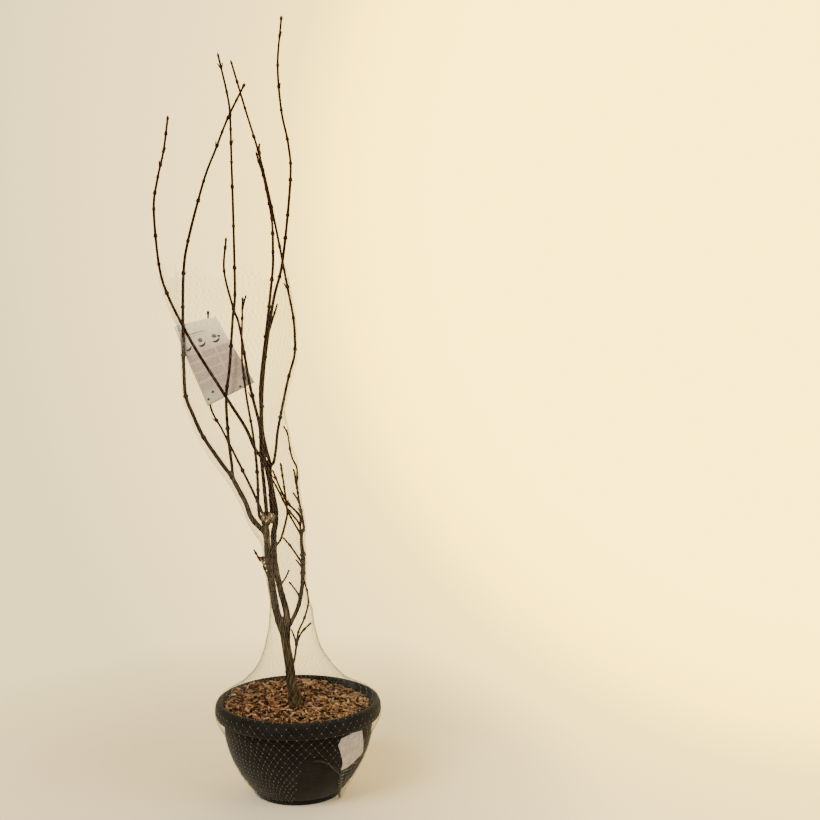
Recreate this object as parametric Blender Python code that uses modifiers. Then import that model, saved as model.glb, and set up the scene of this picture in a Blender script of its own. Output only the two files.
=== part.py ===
"""A bare young maple standing in its round nursery pot, modelled limb by limb.

Metres, +Z up. The origin is the middle of the pot's flat underside, +X is to the
right as the plant is seen from its front, and +Y is away from the viewer. Every
limb is a tapering tube along a smooth curve through a few stations. The stems and
boughs are plain tubes. Each shoot above them also carries pairs of opposite buds
and short side twigs, which a seeded rule places.
"""
import math
import random
from dataclasses import dataclass, replace

import bmesh
import bpy
from mathutils import Matrix, Vector
from mathutils.bvhtree import BVHTree

GAP = 0.0003                    # running clearance between two pieces that touch
UP = Vector((0.0, 0.0, 1.0))

# Pot
POT_HEIGHT = 0.172
RIM_RADIUS = 0.1497             # widest part of the rolled rim
RIM_MOUTH = 0.1400              # inner edge of the rim
RIM_BAND = 0.030                # height of the rim's outer band
# The rim's outer side and its hollow underside: shares of its width and of its band
RIM_OUTSIDE = ((0.0, 0.0), (0.5, 0.05), (0.9, 0.28), (1.0, 0.6), (0.85, 0.9), (0.59, 1.0))
RIM_HOLLOW = ((0.38, 0.97), (0.54, 0.47), (0.2, 0.27))
LIP_INSET = 0.0035              # from the rim's mouth in to the top of the wall
LIP_DROP = 0.006                # from the rim's top down to the top of the wall
BOWL_TOP_RADIUS = 0.1345        # bowl just under the rim
BOWL_FOOT_RADIUS = 0.0835       # bowl where it meets the foot
FOOT_RADIUS = 0.0775
FOOT_HEIGHT = 0.011
FOOT_STEP = 0.001               # the foot draws in by this at its top
BOWL_FULLNESS = 2.2             # 1 is a cone, 2 a circle-like belly
WALL = 0.0028
POT_STEPS = 40
BOWL_RINGS = 6

# Potting mix
MIX_LEVEL = 0.157               # flat top, where the trunk stands
MIX_EDGE_LEVEL = 0.159          # slightly higher against the wall
MIX_FLAT_RADIUS = 0.035

# Sheets: a hanging care card and a paper label on the bowl, both blank
SHEET = 0.0004
SHEET_CELLS = 6                 # each way
CARD_TOP = ((-0.2262, 0.8447), (-0.1464, 0.8626))       # x and z, left and right corner
CARD_FOOT = ((-0.1640, 0.7005), (-0.0752, 0.7455))
CARD_CURL = 0.0030
CARD_PROBES = 60                # spots each way at which the card is set against the limbs
CARD_SETTLING = 4               # rounds in which its slope is found
LABEL_ANGLE = math.radians(-37.2)
LABEL_MIDDLE = 0.104            # height at which its distances to the side are measured
# Edges of the label: (share of the edge, distance to the side, height)
LABEL_TOP = ((-0.5, -0.0334, 0.1325), (0.0, -0.0100, 0.1366), (0.5, 0.0173, 0.1337))
LABEL_FOOT = ((-0.5, -0.0245, 0.0687), (-0.1667, -0.0088, 0.0703), (0.5, 0.0341, 0.0873))
LABEL_LEFT = ((-0.5, -0.0245, 0.0687), (-0.1667, -0.0244, 0.0836), (0.3333, -0.0399, 0.1212),
              (0.5, -0.0334, 0.1325))
LABEL_RIGHT = ((-0.5, 0.0341, 0.0873), (0.5, 0.0173, 0.1337))

# Limbs
PATH_STEP = 0.004               # fineness of the curves that the tubes are read from
RING_STEP = 0.016               # most between the rings of a trunk or stem
BOUGH_RING_STEP = 0.036         # most between the rings of a bough
SHOOT_RING_STEP = 0.050         # most between the rings of a shoot or twig
RING_TURN = math.radians(11.0)  # a limb that has turned this far gets a ring sooner
CLOSEST_RINGS = 0.004
BEVEL_UNIT = 0.001
FLARE_HEIGHT = 0.014            # root flare of the trunk
FLARE_GROWTH = 0.36             # how much wider the flare is than the trunk above it
FLARE_RINGS = (0.0, 0.3, 0.65, 1.0)
KNOB_SHAPE = ((0.25, 0.82), (0.52, 1.0), (0.78, 0.86), (0.93, 0.55), (1.0, 0.25))   # (height, width)

# Buds and side twigs of the shoots
TIP_INTERNODE = 0.026           # distance between the last pairs of buds
INTERNODE_GROWTH = 0.0065       # by which each pair lower down is further off
TIP_SHARE = (0.5, 0.7)          # of that distance, from the last pair to the tip
SHORT_PAIRS = 4                 # pairs at the tip that keep the short distance
LONGEST_INTERNODE = 0.068
BUD_LENGTH = 0.0052
BUD_RADIUS = 0.0014
BUD_SINK = 0.0006
BUD_LEAN = math.radians(26.0)   # from the shoot
PAIR_SWAY = 0.2                 # radians off a quarter turn between two pairs
UNEVENNESS = (0.85, 1.15)       # of distances and sizes
SPUR_SHARE = 0.10               # share of buds that have begun to grow out
SPUR_LENGTH = (0.0065, 0.0085)
BARE_FOOT = 0.020               # no buds nearer than this to the foot of a shoot
BARE_TWIG = 0.012               # the same on a side twig


@dataclass(frozen=True)
class Limb:
    """A tapering limb. `split` is the height at which it is made in two pieces."""
    name: str
    way: tuple
    foot: float                 # diameters
    tip: float
    girth: tuple = ()           # (height, diameter), where a limb doesn't taper evenly
    sides: int = 12
    knob: tuple = ()            # diameter and height of the burr that ends it
    split: float = 0.0
    upper: str = ""
    seed: int = 0
    nodes: tuple = ()           # heights of its pairs of buds, where they don't follow the rule
    twigs: tuple = ()           # side twigs of a shoot: ((stations), foot, tip)


TRUNK = Limb("trunk",
             ((-0.005, 0.0, MIX_LEVEL + GAP), (-0.0078, 0.0, 0.18), (-0.0126, 0.0, 0.203),
              (-0.0157, 0.0, 0.233), (-0.021, 0.0, 0.268), (-0.0237, 0.0, 0.29), (-0.0275, 0.0, 0.302),
              (-0.0336, -0.0005, 0.315)),
             0.0205, 0.0125, sides=16,
             girth=((0.171, 0.0205), (0.18, 0.019), (0.203, 0.016), (0.235, 0.015), (0.28, 0.014),
                    (0.29, 0.016), (0.302, 0.018), (0.315, 0.0125)))

# Stems and boughs, in the order in which they leave the trunk
BOUGHS = (
    Limb("left_stem",
         ((-0.0336, -0.0005, 0.315), (-0.0393, -0.0011, 0.3358), (-0.0446, -0.0021, 0.3711),
          (-0.051, -0.0037, 0.4217), (-0.0545, -0.0051, 0.4703), (-0.056, -0.0057, 0.4885),
          (-0.0536, -0.006, 0.511)),
         0.0118, 0.0102, knob=(0.018, 0.018)),
    Limb("middle_stem",
         ((-0.0205, 0.001, 0.285), (-0.0202, 0.0034, 0.3141), (-0.022, 0.0052, 0.3343),
          (-0.0315, 0.0073, 0.369), (-0.0413, 0.0102, 0.4189), (-0.0437, 0.0125, 0.4675),
          (-0.0401, 0.0131, 0.4899), (-0.0394, 0.0139, 0.5179), (-0.046, 0.0149, 0.5542),
          (-0.0491, 0.0155, 0.5778), (-0.0512, 0.0161, 0.602)),
         0.0103, 0.0058, knob=(0.0096, 0.0128),
         girth=((0.34, 0.0103), (0.36, 0.0095), (0.497, 0.0093), (0.508, 0.007), (0.535, 0.006),
                (0.6, 0.0058))),
    Limb("right_bough",
         ((-0.0215, -0.0012, 0.293), (-0.01, -0.0045, 0.3161), (0.0001, -0.0077, 0.3374),
          (0.0052, -0.0105, 0.3555), (0.0084, -0.0133, 0.3737), (0.0109, -0.016, 0.3918),
          (0.0112, -0.018, 0.404)),
         0.006, 0.0064, sides=8),
    Limb("left_bough",
         ((-0.057, -0.0046, 0.4775), (-0.0669, -0.0027, 0.4855), (-0.0828, 0.0017, 0.5036),
          (-0.093, 0.0077, 0.5286), (-0.1063, 0.0133, 0.5521), (-0.1199, 0.0189, 0.5765)),
         0.008, 0.007, sides=8, knob=(0.0086, 0.0086)),
)

# Long shoots whose lower part is a bough of its own
LONG_SHOOTS = (
    Limb("outer_left_bough",
         ((-0.1195, 0.0192, 0.5755), (-0.1352, 0.022, 0.595), (-0.1702, 0.027, 0.645),
          (-0.1892, 0.031, 0.685), (-0.2024, 0.035, 0.718), (-0.206, 0.0395, 0.76),
          (-0.2078, 0.046, 0.846), (-0.207, 0.056, 0.94), (-0.199, 0.062, 0.999), (-0.169, 0.061, 1.106),
          (-0.1455, 0.056, 1.163), (-0.1225, 0.049, 1.216), (-0.092, 0.04, 1.272)),
         0.0062, 0.0025, sides=8, split=0.846, upper="outer_left_shoot", seed=6,
         nodes=(0.6455, 0.7192, 0.793, 0.8795, 0.9408, 0.9986, 1.0702, 1.1059, 1.1675, 1.1919, 1.2161,
                1.247)),
    Limb("leaning_left_bough",
         ((-0.0515, 0.0155, 0.5945), (-0.057, 0.014, 0.603), (-0.074, 0.009, 0.624),
          (-0.0905, -0.001, 0.665), (-0.1215, -0.0145, 0.719), (-0.1695, -0.036, 0.803),
          (-0.192, -0.047, 0.848), (-0.2158, -0.061, 0.904), (-0.2271, -0.071, 0.954),
          (-0.232, -0.082, 1.046), (-0.2246, -0.085, 1.095), (-0.2138, -0.081, 1.145),
          (-0.207, -0.076, 1.199)),
         0.0052, 0.0025, sides=8, split=0.848, upper="leaning_left_shoot", seed=1,
         nodes=(0.9045, 0.9539, 1.0012, 1.0464, 1.0731, 1.0998, 1.12, 1.1436, 1.1723)),
    Limb("bowed_right_bough",
         ((-0.05, 0.015, 0.595), (-0.0425, 0.0118, 0.601), (-0.0365, 0.001, 0.63),
          (-0.032, -0.007, 0.663), (-0.012, -0.028, 0.751), (0.001, -0.0395, 0.795),
          (0.0025, -0.044, 0.829), (0.0, -0.048, 0.865), (-0.009, -0.054, 0.916), (-0.027, -0.062, 1.016),
          (-0.052, -0.06, 1.13), (-0.079, -0.052, 1.219), (-0.103, -0.041, 1.298)),
         0.005, 0.0025, sides=8, split=0.829, upper="bowed_right_shoot", seed=8,
         nodes=(0.6854, 0.7594, 0.8073, 0.8609, 0.9148, 0.9849, 1.0511, 1.1138, 1.1699, 1.2193, 1.2639)),
    Limb("tall_bough",
         ((-0.051, 0.017, 0.595), (-0.0512, 0.0225, 0.603), (-0.057, 0.0235, 0.624),
          (-0.064, 0.0245, 0.666), (-0.063, 0.0275, 0.735), (-0.056, 0.031, 0.804),
          (-0.042, 0.036, 0.894), (-0.026, 0.042, 0.963), (-0.012, 0.054, 1.108), (-0.0155, 0.057, 1.17),
          (-0.0278, 0.06, 1.231), (-0.034, 0.063, 1.312), (-0.027, 0.065, 1.394)),
         0.0054, 0.0025, sides=8, split=0.82, upper="tall_shoot", seed=2,
         nodes=(0.7012, 0.7905, 0.8596, 0.9337, 1.0032, 1.0444, 1.107, 1.1374, 1.1801, 1.2317, 1.2725,
                1.3114, 1.3625),
         twigs=((((-0.054, 0.0318, 0.8245), (-0.0475, 0.032, 0.846), (-0.0355, 0.031, 0.884)),
                  0.0024, 0.0015),)),
    Limb("middle_bough",
         ((-0.053, -0.0045, 0.502), (-0.0454, -0.0025, 0.5121), (-0.0462, -0.0023, 0.5296),
          (-0.047, -0.0029, 0.5533), (-0.0523, 0.0009, 0.5825), (-0.0582, 0.0042, 0.6083),
          (-0.0628, 0.0044, 0.6515), (-0.0631, 0.0024, 0.6912), (-0.063, 0.003, 0.745),
          (-0.051, 0.004, 0.848), (-0.0418, 0.018, 0.943), (-0.0415, 0.025, 0.985),
          (-0.043, 0.033, 1.0232), (-0.0471, 0.039, 1.0529), (-0.0595, 0.045, 1.1129),
          (-0.067, 0.048, 1.1361), (-0.0718, 0.049, 1.153)),
         0.0062, 0.0025, sides=8, split=0.735, upper="middle_shoot", seed=3,
         twigs=((((-0.0618, 0.0455, 1.123), (-0.0648, 0.042, 1.1483), (-0.0665, 0.042, 1.1607),
                  (-0.0658, 0.043, 1.1692)), 0.0026, 0.0018),)),
)

# Shoots that are one mass from foot to tip
SHOOTS = (
    Limb("inner_left_shoot",
         ((-0.1183, 0.0192, 0.575), (-0.1185, 0.021, 0.59), (-0.124, 0.015, 0.65), (-0.126, 0.011, 0.72),
          (-0.119, 0.008, 0.773), (-0.112, 0.008, 0.864), (-0.108, 0.008, 0.902), (-0.11, 0.015, 1.024),
          (-0.1135, 0.024, 1.14), (-0.116, 0.031, 1.219), (-0.122, 0.037, 1.259), (-0.138, 0.045, 1.326)),
         0.0046, 0.0025, seed=7,
         nodes=(0.6622, 0.7386, 0.8106, 0.9011, 0.9488, 1.023, 1.0918, 1.1359, 1.1694, 1.1941, 1.2189,
                1.2599, 1.3043)),
    Limb("rear_left_shoot",
         ((-0.056, -0.0025, 0.503), (-0.0629, 0.0042, 0.511), (-0.067, 0.0062, 0.521),
          (-0.0855, 0.0138, 0.5588), (-0.115, 0.027, 0.615), (-0.138, 0.039, 0.657),
          (-0.16, 0.049, 0.698), (-0.1665, 0.054, 0.76), (-0.164, 0.06, 0.869)),
         0.004, 0.002, seed=5),
    Limb("short_left_shoot",
         ((-0.057, -0.0085, 0.5015), (-0.064, -0.01, 0.502), (-0.0672, -0.0106, 0.5135),
          (-0.0681, -0.0113, 0.5311), (-0.0691, -0.0135, 0.5866), (-0.076, -0.01, 0.652),
          (-0.087, 0.001, 0.71), (-0.094, 0.011, 0.754), (-0.098, 0.017, 0.798), (-0.096, 0.019, 0.894)),
         0.0044, 0.0018, seed=15,
         nodes=(0.5547, 0.5872, 0.6777, 0.7533, 0.8209, 0.8584, 0.8816),
         twigs=((((-0.0965, 0.019, 0.876), (-0.094, 0.02, 0.886), (-0.0905, 0.0215, 0.899)),
                  0.0018, 0.0014),)),
    Limb("front_left_shoot",
         ((-0.0536, -0.0085, 0.504), (-0.0534, -0.015, 0.511), (-0.0534, -0.017, 0.5248),
          (-0.0557, -0.0209, 0.5572), (-0.0604, -0.0269, 0.6218), (-0.062, -0.029, 0.67),
          (-0.078, -0.031, 0.742), (-0.095, -0.034, 0.846), (-0.105, -0.035, 0.877),
          (-0.12, -0.038, 0.942), (-0.116, -0.04, 0.997)),
         0.006, 0.0023, seed=4,
         nodes=(0.6515, 0.7242, 0.7999, 0.8767, 0.9426, 0.9823)),
    Limb("low_middle_shoot",
         ((-0.0435, 0.0115, 0.4445), (-0.038, 0.0115, 0.4515), (-0.03, 0.01, 0.463),
          (-0.02, 0.006, 0.498), (-0.018, 0.003, 0.516), (-0.022, -0.004, 0.558), (-0.027, -0.012, 0.6)),
         0.0034, 0.002, seed=12,
         nodes=(0.5273, 0.5583, 0.5805, 0.5922)),
    Limb("right_shoot",
         ((0.0112, -0.018, 0.404), (0.0122, -0.0229, 0.4366), (0.01, -0.0265, 0.4602),
          (0.0104, -0.0282, 0.477), (0.0143, -0.0292, 0.489), (0.0124, -0.0302, 0.5058),
          (0.0066, -0.0323, 0.5391), (0.0033, -0.034, 0.5668), (0.0038, -0.0358, 0.596),
          (-0.0026, -0.0372, 0.6108), (-0.0067, -0.0385, 0.624), (-0.0091, -0.0406, 0.6404),
          (-0.0116, -0.0427, 0.6583), (-0.0177, -0.044, 0.6711)),
         0.0064, 0.0013, seed=11,
         girth=((0.404, 0.0064), (0.437, 0.0068), (0.46, 0.0056), (0.482, 0.004), (0.52, 0.003),
                (0.671, 0.0013)),
         twigs=((((0.0112, -0.019, 0.415), (-0.0005, -0.016, 0.4285)), 0.0024, 0.0014),
                (((0.0115, -0.0208, 0.4225), (-0.01, -0.016, 0.453), (-0.023, -0.014, 0.468)),
                  0.0026, 0.0015),
                (((0.0102, -0.028, 0.4745), (0.0061, -0.0309, 0.4832), (-0.0048, -0.0402, 0.5057),
                  (-0.0131, -0.046, 0.5231)), 0.0022, 0.0014),
                (((0.0102, -0.0281, 0.4763), (0.0085, -0.0316, 0.4887), (0.0075, -0.0348, 0.5121),
                  (-0.0146, -0.0385, 0.5383), (-0.0316, -0.0441, 0.5772), (-0.0376, -0.046, 0.5934)),
                  0.0028, 0.0015),
                (((0.0083, -0.0324, 0.4945), (0.0033, -0.0296, 0.5021), (-0.0151, -0.0251, 0.5243),
                  (-0.0288, -0.0198, 0.5508), (-0.0427, -0.0149, 0.5755)), 0.0022, 0.0014),
                (((0.0073, -0.0321, 0.5352), (0.0011, -0.0291, 0.5447), (-0.0036, -0.028, 0.5511)),
                  0.002, 0.0014),
                (((0.0042, -0.0336, 0.56), (0.0008, -0.0314, 0.5718), (-0.001, -0.0302, 0.5877),
                  (-0.0029, -0.03, 0.593)), 0.0022, 0.0016))),
    Limb("right_spur",
         ((0.006, -0.0115, 0.359), (-0.002, -0.0105, 0.372), (-0.0125, -0.0095, 0.3855)),
         0.0024, 0.0016, seed=21),
    Limb("middle_spur",
         ((-0.033, 0.0078, 0.376), (-0.022, 0.005, 0.392), (-0.016, 0.003, 0.405)),
         0.0024, 0.0014, seed=22),
    Limb("broken_spur",
         ((-0.05, -0.0032, 0.4), (-0.057, -0.004, 0.413), (-0.0632, -0.0053, 0.4265),
          (-0.065, -0.0058, 0.4315), (-0.07, -0.0068, 0.4365), (-0.0773, -0.0085, 0.4462)),
         0.009, 0.0014, seed=23,
         girth=((0.4, 0.0085), (0.4265, 0.0105), (0.4315, 0.0115), (0.4345, 0.0026), (0.4462, 0.0014))),
    Limb("low_sucker",
         ((-0.013, -0.002, 0.233), (-0.007, -0.0055, 0.241), (-0.003, -0.008, 0.264),
          (-0.0005, -0.01, 0.284), (0.003, -0.0115, 0.3), (0.013, -0.014, 0.322), (0.0205, -0.016, 0.351),
          (0.0185, -0.019, 0.375), (0.014, -0.02, 0.39)),
         0.0034, 0.0013, seed=24,
         twigs=((((-0.0018, -0.009, 0.275), (0.008, -0.012, 0.296), (0.024, -0.014, 0.313)),
                  0.0024, 0.0015),
                (((-0.0018, -0.009, 0.275), (-0.006, -0.0125, 0.289), (-0.01, -0.015, 0.301)),
                  0.002, 0.0013))),
)

MATERIALS = {                   # base colour, roughness, metallic
    "pot": ((0.012, 0.013, 0.012), 0.48, 0.0),
    "mix": ((0.215, 0.105, 0.055), 0.95, 0.0),
    "bark": ((0.100, 0.068, 0.042), 0.72, 0.0),
    "shoot": ((0.060, 0.020, 0.016), 0.50, 0.0),
    "paper": ((0.62, 0.58, 0.54), 0.60, 0.0),
}


def clear_scene():
    for obj in list(bpy.data.objects):
        bpy.data.objects.remove(obj, do_unlink=True)


def new_collection(name):
    collection = bpy.data.collections.new(name)
    bpy.context.scene.collection.children.link(collection)
    return collection


def make_material(piece, look):
    """Give a piece a Principled material of its own."""
    colour, roughness, metallic = MATERIALS[look]
    material = bpy.data.materials.new(piece.name)
    material.use_nodes = True
    shader = material.node_tree.nodes["Principled BSDF"]
    shader.inputs["Base Color"].default_value = (*colour, 1.0)
    shader.inputs["Roughness"].default_value = roughness
    shader.inputs["Metallic"].default_value = metallic
    piece.data.materials.clear()
    piece.data.materials.append(material)


def evaluated_mesh(obj):
    """The mesh of an object with its curve or modifiers worked out."""
    graph = bpy.context.evaluated_depsgraph_get()
    return bpy.data.meshes.new_from_object(obj.evaluated_get(graph))


# Paths: lists of points a few millimetres apart

def smooth_path(way):
    """Points along a smooth curve through the stations."""
    stations = [Vector(point) for point in way]
    ends = [2 * stations[0] - stations[1]] + stations + [2 * stations[-1] - stations[-2]]
    points = []
    for a, b, c, d in zip(ends, ends[1:], ends[2:], ends[3:]):
        pieces = max(2, round((c - b).length / PATH_STEP))
        for k in range(pieces):
            t = k / pieces
            points.append(0.5 * (2 * b + (c - a) * t + (2 * a - 5 * b + 4 * c - d) * t ** 2
                                 + (3 * b - a - 3 * c + d) * t ** 3))
    return points + [stations[-1]]


def path_length(path):
    return sum((b - a).length for a, b in zip(path, path[1:]))


def on_path(path, distance):
    """The point at a distance along a path, and the direction there."""
    for a, b in zip(path, path[1:]):
        step = (b - a).length
        if distance <= step:
            return a.lerp(b, max(distance, 0.0) / step), (b - a) / step
        distance -= step
    return path[-1].copy(), (path[-1] - path[-2]).normalized()


def part_of_path(path, start, end):
    """The stretch of a path between two distances."""
    walked = 0.0
    inner = []
    for a, b in zip(path, path[1:]):
        walked += (b - a).length
        if start + PATH_STEP / 3 < walked < end - PATH_STEP / 3:
            inner.append(b)
    return [on_path(path, start)[0]] + inner + [on_path(path, end)[0]]


# Tubes

class Tube:
    """A limb's middle line with its radius at stations along it."""

    def __init__(self, path, sides, stations):
        self.path = path
        self.sides = sides
        self.stations = stations        # (distance, radius), foot to tip

    def radius(self, distance):
        return read_off(self.stations, distance)

    def make(self, name, spread=0.0):
        """The closed mesh object, or one that is wider all over by `spread`."""
        points = [on_path(self.path, s)[0] for s, _ in self.stations]
        radii = [r + spread for _, r in self.stations]
        points[0] = points[0] + (points[0] - points[1]).normalized() * spread
        points[-1] = points[-1] + (points[-1] - points[-2]).normalized() * spread
        curve = bpy.data.curves.new(name, "CURVE")
        curve.dimensions = "3D"
        curve.bevel_depth = BEVEL_UNIT
        curve.bevel_resolution = self.sides // 2 - 2
        curve.use_fill_caps = True
        spline = curve.splines.new("POLY")
        spline.points.add(len(points) - 1)
        for knot, point, radius in zip(spline.points, points, radii):
            knot.co = (*point, 1.0)
            knot.radius = radius / BEVEL_UNIT
        drawn = bpy.data.objects.new(name, curve)
        bpy.context.scene.collection.objects.link(drawn)
        mesh = evaluated_mesh(drawn)
        shell = bmesh.new()
        shell.from_mesh(mesh)
        bmesh.ops.remove_doubles(shell, verts=shell.verts, dist=0.00001)
        shell.to_mesh(mesh)
        shell.free()
        solid = bpy.data.objects.new(name, mesh)
        solid.matrix_world = drawn.matrix_world
        bpy.data.objects.remove(drawn, do_unlink=True)
        bpy.data.curves.remove(curve)
        solid.name = name
        return solid


def ring_places(path, end, step):
    """Distances of a tube's rings, which are closer together where it bends."""
    places = [0.0]
    walked = 0.0
    heading = path[1] - path[0]
    for a, b, c in zip(path, path[1:], path[2:]):
        walked += (b - a).length
        since = walked - places[-1]
        turned = heading.angle(c - b)
        if walked < end - CLOSEST_RINGS and (since > step or (turned > RING_TURN and since > CLOSEST_RINGS)):
            places.append(walked)
            heading = c - b
    return places + [end]


def height_places(path, heights):
    """Distances at which a rising path passes the given heights."""
    walked = 0.0
    places = []
    for a, b in zip(path, path[1:]):
        step = (b - a).length
        places += [walked + step * (z - a.z) / (b.z - a.z) for z in heights if a.z < z <= b.z]
        walked += step
    return places


def read_off(table, at):
    """A value read from rising (place, value) pairs, in a straight line between them."""
    for (p0, v0), (p1, v1) in zip(table, table[1:]):
        if at <= p1:
            return v0 + (v1 - v0) * max(at - p0, 0.0) / (p1 - p0)
    return table[-1][1]


def plain_tube(limb, path, step, flare=False):
    """The tube of a limb, with a flare at its foot or a burr at its tip."""
    length = path_length(path)
    knob_width, knob_height = limb.knob or (0.0, 0.0)
    body_end = length - knob_height
    places = ring_places(path, body_end, step)
    places += height_places(path, [z for z, _ in limb.girth])
    stations = []
    for s in sorted(places):
        if stations and s - stations[-1][0] < CLOSEST_RINGS / 2 or s > body_end:
            continue
        if limb.girth:
            width = read_off(limb.girth, on_path(path, s)[0].z)
        else:
            width = limb.foot + (limb.tip - limb.foot) * s / length
        stations.append((s, width / 2))
    if flare:
        above = [(s, r) for s, r in stations if s > FLARE_HEIGHT + CLOSEST_RINGS]
        low = []
        for share in FLARE_RINGS:
            widen = 1.0 + FLARE_GROWTH * (1.0 - share) ** 2
            low.append((FLARE_HEIGHT * share, limb.foot / 2 * widen))
        stations = low + above
    if limb.knob:
        for along, wide in KNOB_SHAPE:
            stations.append((body_end + along * knob_height, wide * knob_width / 2))
    return Tube(path, limb.sides, stations)


# Booleans

def apply_boolean(obj, operation, other=None, collection=None):
    """Join or cut `obj`, keep the result as its mesh, and drop loose scraps."""
    modifier = obj.modifiers.new(operation, "BOOLEAN")
    modifier.operation = operation
    modifier.solver = "EXACT"
    if collection is not None:
        modifier.operand_type = "COLLECTION"
        modifier.collection = collection
    else:
        modifier.object = other
    mesh = evaluated_mesh(obj)
    obj.modifiers.clear()
    old = obj.data
    obj.data = mesh
    bpy.data.meshes.remove(old)
    keep_largest_body(obj.data)


def keep_largest_body(mesh):
    shell = bmesh.new()
    shell.from_mesh(mesh)
    left = set(shell.verts)
    bodies = []
    while left:
        queue = [left.pop()]
        body = list(queue)
        while queue:
            for edge in queue.pop().link_edges:
                for vert in edge.verts:
                    if vert in left:
                        left.remove(vert)
                        queue.append(vert)
                        body.append(vert)
        bodies.append(body)
    bodies.sort(key=len)
    for scrap in bodies[:-1]:
        bmesh.ops.delete(shell, geom=scrap, context="VERTS")
    shell.to_mesh(mesh)
    shell.free()


def surface_tree(obj):
    shell = bmesh.new()
    shell.from_mesh(obj.data)
    tree = BVHTree.FromBMesh(shell)
    shell.free()
    return tree


class Plant:
    """Keeps the finished pieces, and the room that each of them takes."""

    def __init__(self):
        self.parts = new_collection("potted_maple")
        self.cutters = new_collection("cutters")
        self.taken = []                 # (cutter, its surface tree)

    def add(self, piece, look):
        self.parts.objects.link(piece)
        make_material(piece, look)
        piece.data.shade_smooth()
        piece.data.set_sharp_from_angle(angle=math.radians(40))

    def take_room(self, cutter):
        cutter.name = "room_of_" + cutter.name
        cutter.hide_render = True
        cutter.display_type = "WIRE"
        self.cutters.objects.link(cutter)
        self.taken.append((cutter, surface_tree(cutter)))

    def touches(self, obj):
        tree = surface_tree(obj)
        return [cutter for cutter, room in self.taken if tree.overlap(room)]

    def cut_clear(self, piece):
        """Cut a piece back from all that stood there before it."""
        for cutter in self.touches(piece):
            apply_boolean(piece, "DIFFERENCE", other=cutter)

    def drop_cutters(self):
        for obj in list(self.cutters.objects):
            bpy.data.objects.remove(obj, do_unlink=True)


# Pot, potting mix and sheets

def turned(name, profile):
    """A turned solid. The profile runs down its outer side, from axis to axis."""
    mesh = bpy.data.meshes.new(name)
    edges = [(k, k + 1) for k in range(len(profile) - 1)]
    mesh.from_pydata([(r, 0.0, z) for r, z in profile], edges, [])
    piece = bpy.data.objects.new(name, mesh)
    screw = piece.modifiers.new("turn", "SCREW")
    screw.axis = "Z"
    screw.steps = POT_STEPS
    screw.render_steps = POT_STEPS
    screw.use_merge_vertices = True
    screw.merge_threshold = 0.00001
    return piece


def bowl_radius(z):
    """Outer radius of the bowl, which bellies out from its foot to the rim."""
    top = POT_HEIGHT - RIM_BAND
    share = (top - z) / (top - FOOT_HEIGHT)
    return BOWL_TOP_RADIUS - (BOWL_TOP_RADIUS - BOWL_FOOT_RADIUS) * max(share, 0.0) ** BOWL_FULLNESS


def inner_wall(clear=0.0):
    """Inside of the bowl from its floor up, set in by `clear`."""
    top = POT_HEIGHT - RIM_BAND
    floor = WALL + clear
    heights = [FOOT_HEIGHT + (top - FOOT_HEIGHT) * k / BOWL_RINGS for k in range(BOWL_RINGS + 1)]
    wall = [(bowl_radius(z) - WALL - clear, z) for z in heights]
    return [(FOOT_RADIUS - 2 * WALL - clear, floor)] + wall


def make_pot(plant):
    """Bowl with a foot, and a rim that is rolled out and down, hollow beneath."""
    top = POT_HEIGHT - RIM_BAND
    lip = RIM_RADIUS - RIM_MOUTH
    inside = [(0.0, WALL)] + inner_wall() + [(RIM_MOUTH - LIP_INSET, POT_HEIGHT - LIP_DROP)]
    rim = [(RIM_MOUTH + out * lip, POT_HEIGHT - down * RIM_BAND) for out, down in RIM_OUTSIDE + RIM_HOLLOW]
    heights = [top - (top - FOOT_HEIGHT) * k / BOWL_RINGS for k in range(BOWL_RINGS + 1)]
    outside = [(bowl_radius(z), z) for z in heights]
    foot = [(FOOT_RADIUS + FOOT_STEP, FOOT_HEIGHT - FOOT_STEP), (FOOT_RADIUS, 0.0), (0.0, 0.0)]
    plant.add(turned("pot", inside + rim + outside + foot), "pot")


def make_mix(plant):
    """Potting mix, level round the trunk and a little higher at the wall."""
    wall = [point for point in inner_wall(GAP) if point[1] < MIX_EDGE_LEVEL]
    share = (MIX_EDGE_LEVEL - wall[-1][1]) / (POT_HEIGHT - LIP_DROP - wall[-1][1])
    edge = wall[-1][0] + (RIM_MOUTH - LIP_INSET - GAP - wall[-1][0]) * share
    profile = [(0.0, MIX_LEVEL), (MIX_FLAT_RADIUS, MIX_LEVEL), (edge, MIX_EDGE_LEVEL)]
    profile += wall[::-1] + [(0.0, WALL + GAP)]
    plant.add(turned("potting_mix", profile), "mix")


def thin_sheet(name, place):
    """A thin sheet. place(across, up) tells where a spot goes, both from -0.5 to 0.5."""
    shell = bmesh.new()
    bmesh.ops.create_grid(shell, x_segments=SHEET_CELLS, y_segments=SHEET_CELLS, size=0.5)
    for vert in shell.verts:
        vert.co = place(vert.co.x, vert.co.y)
    mesh = bpy.data.meshes.new(name)
    shell.to_mesh(mesh)
    shell.free()
    piece = bpy.data.objects.new(name, mesh)
    solidify = piece.modifiers.new("thickness", "SOLIDIFY")
    solidify.thickness = SHEET
    solidify.offset = 1.0
    return piece


def on_edge(edge, share):
    """Distance to the side and height of a spot on an edge of the label."""
    side = read_off([(at, x) for at, x, _ in edge], share)
    height = read_off([(at, z) for at, _, z in edge], share)
    return Vector((side, height))


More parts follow.
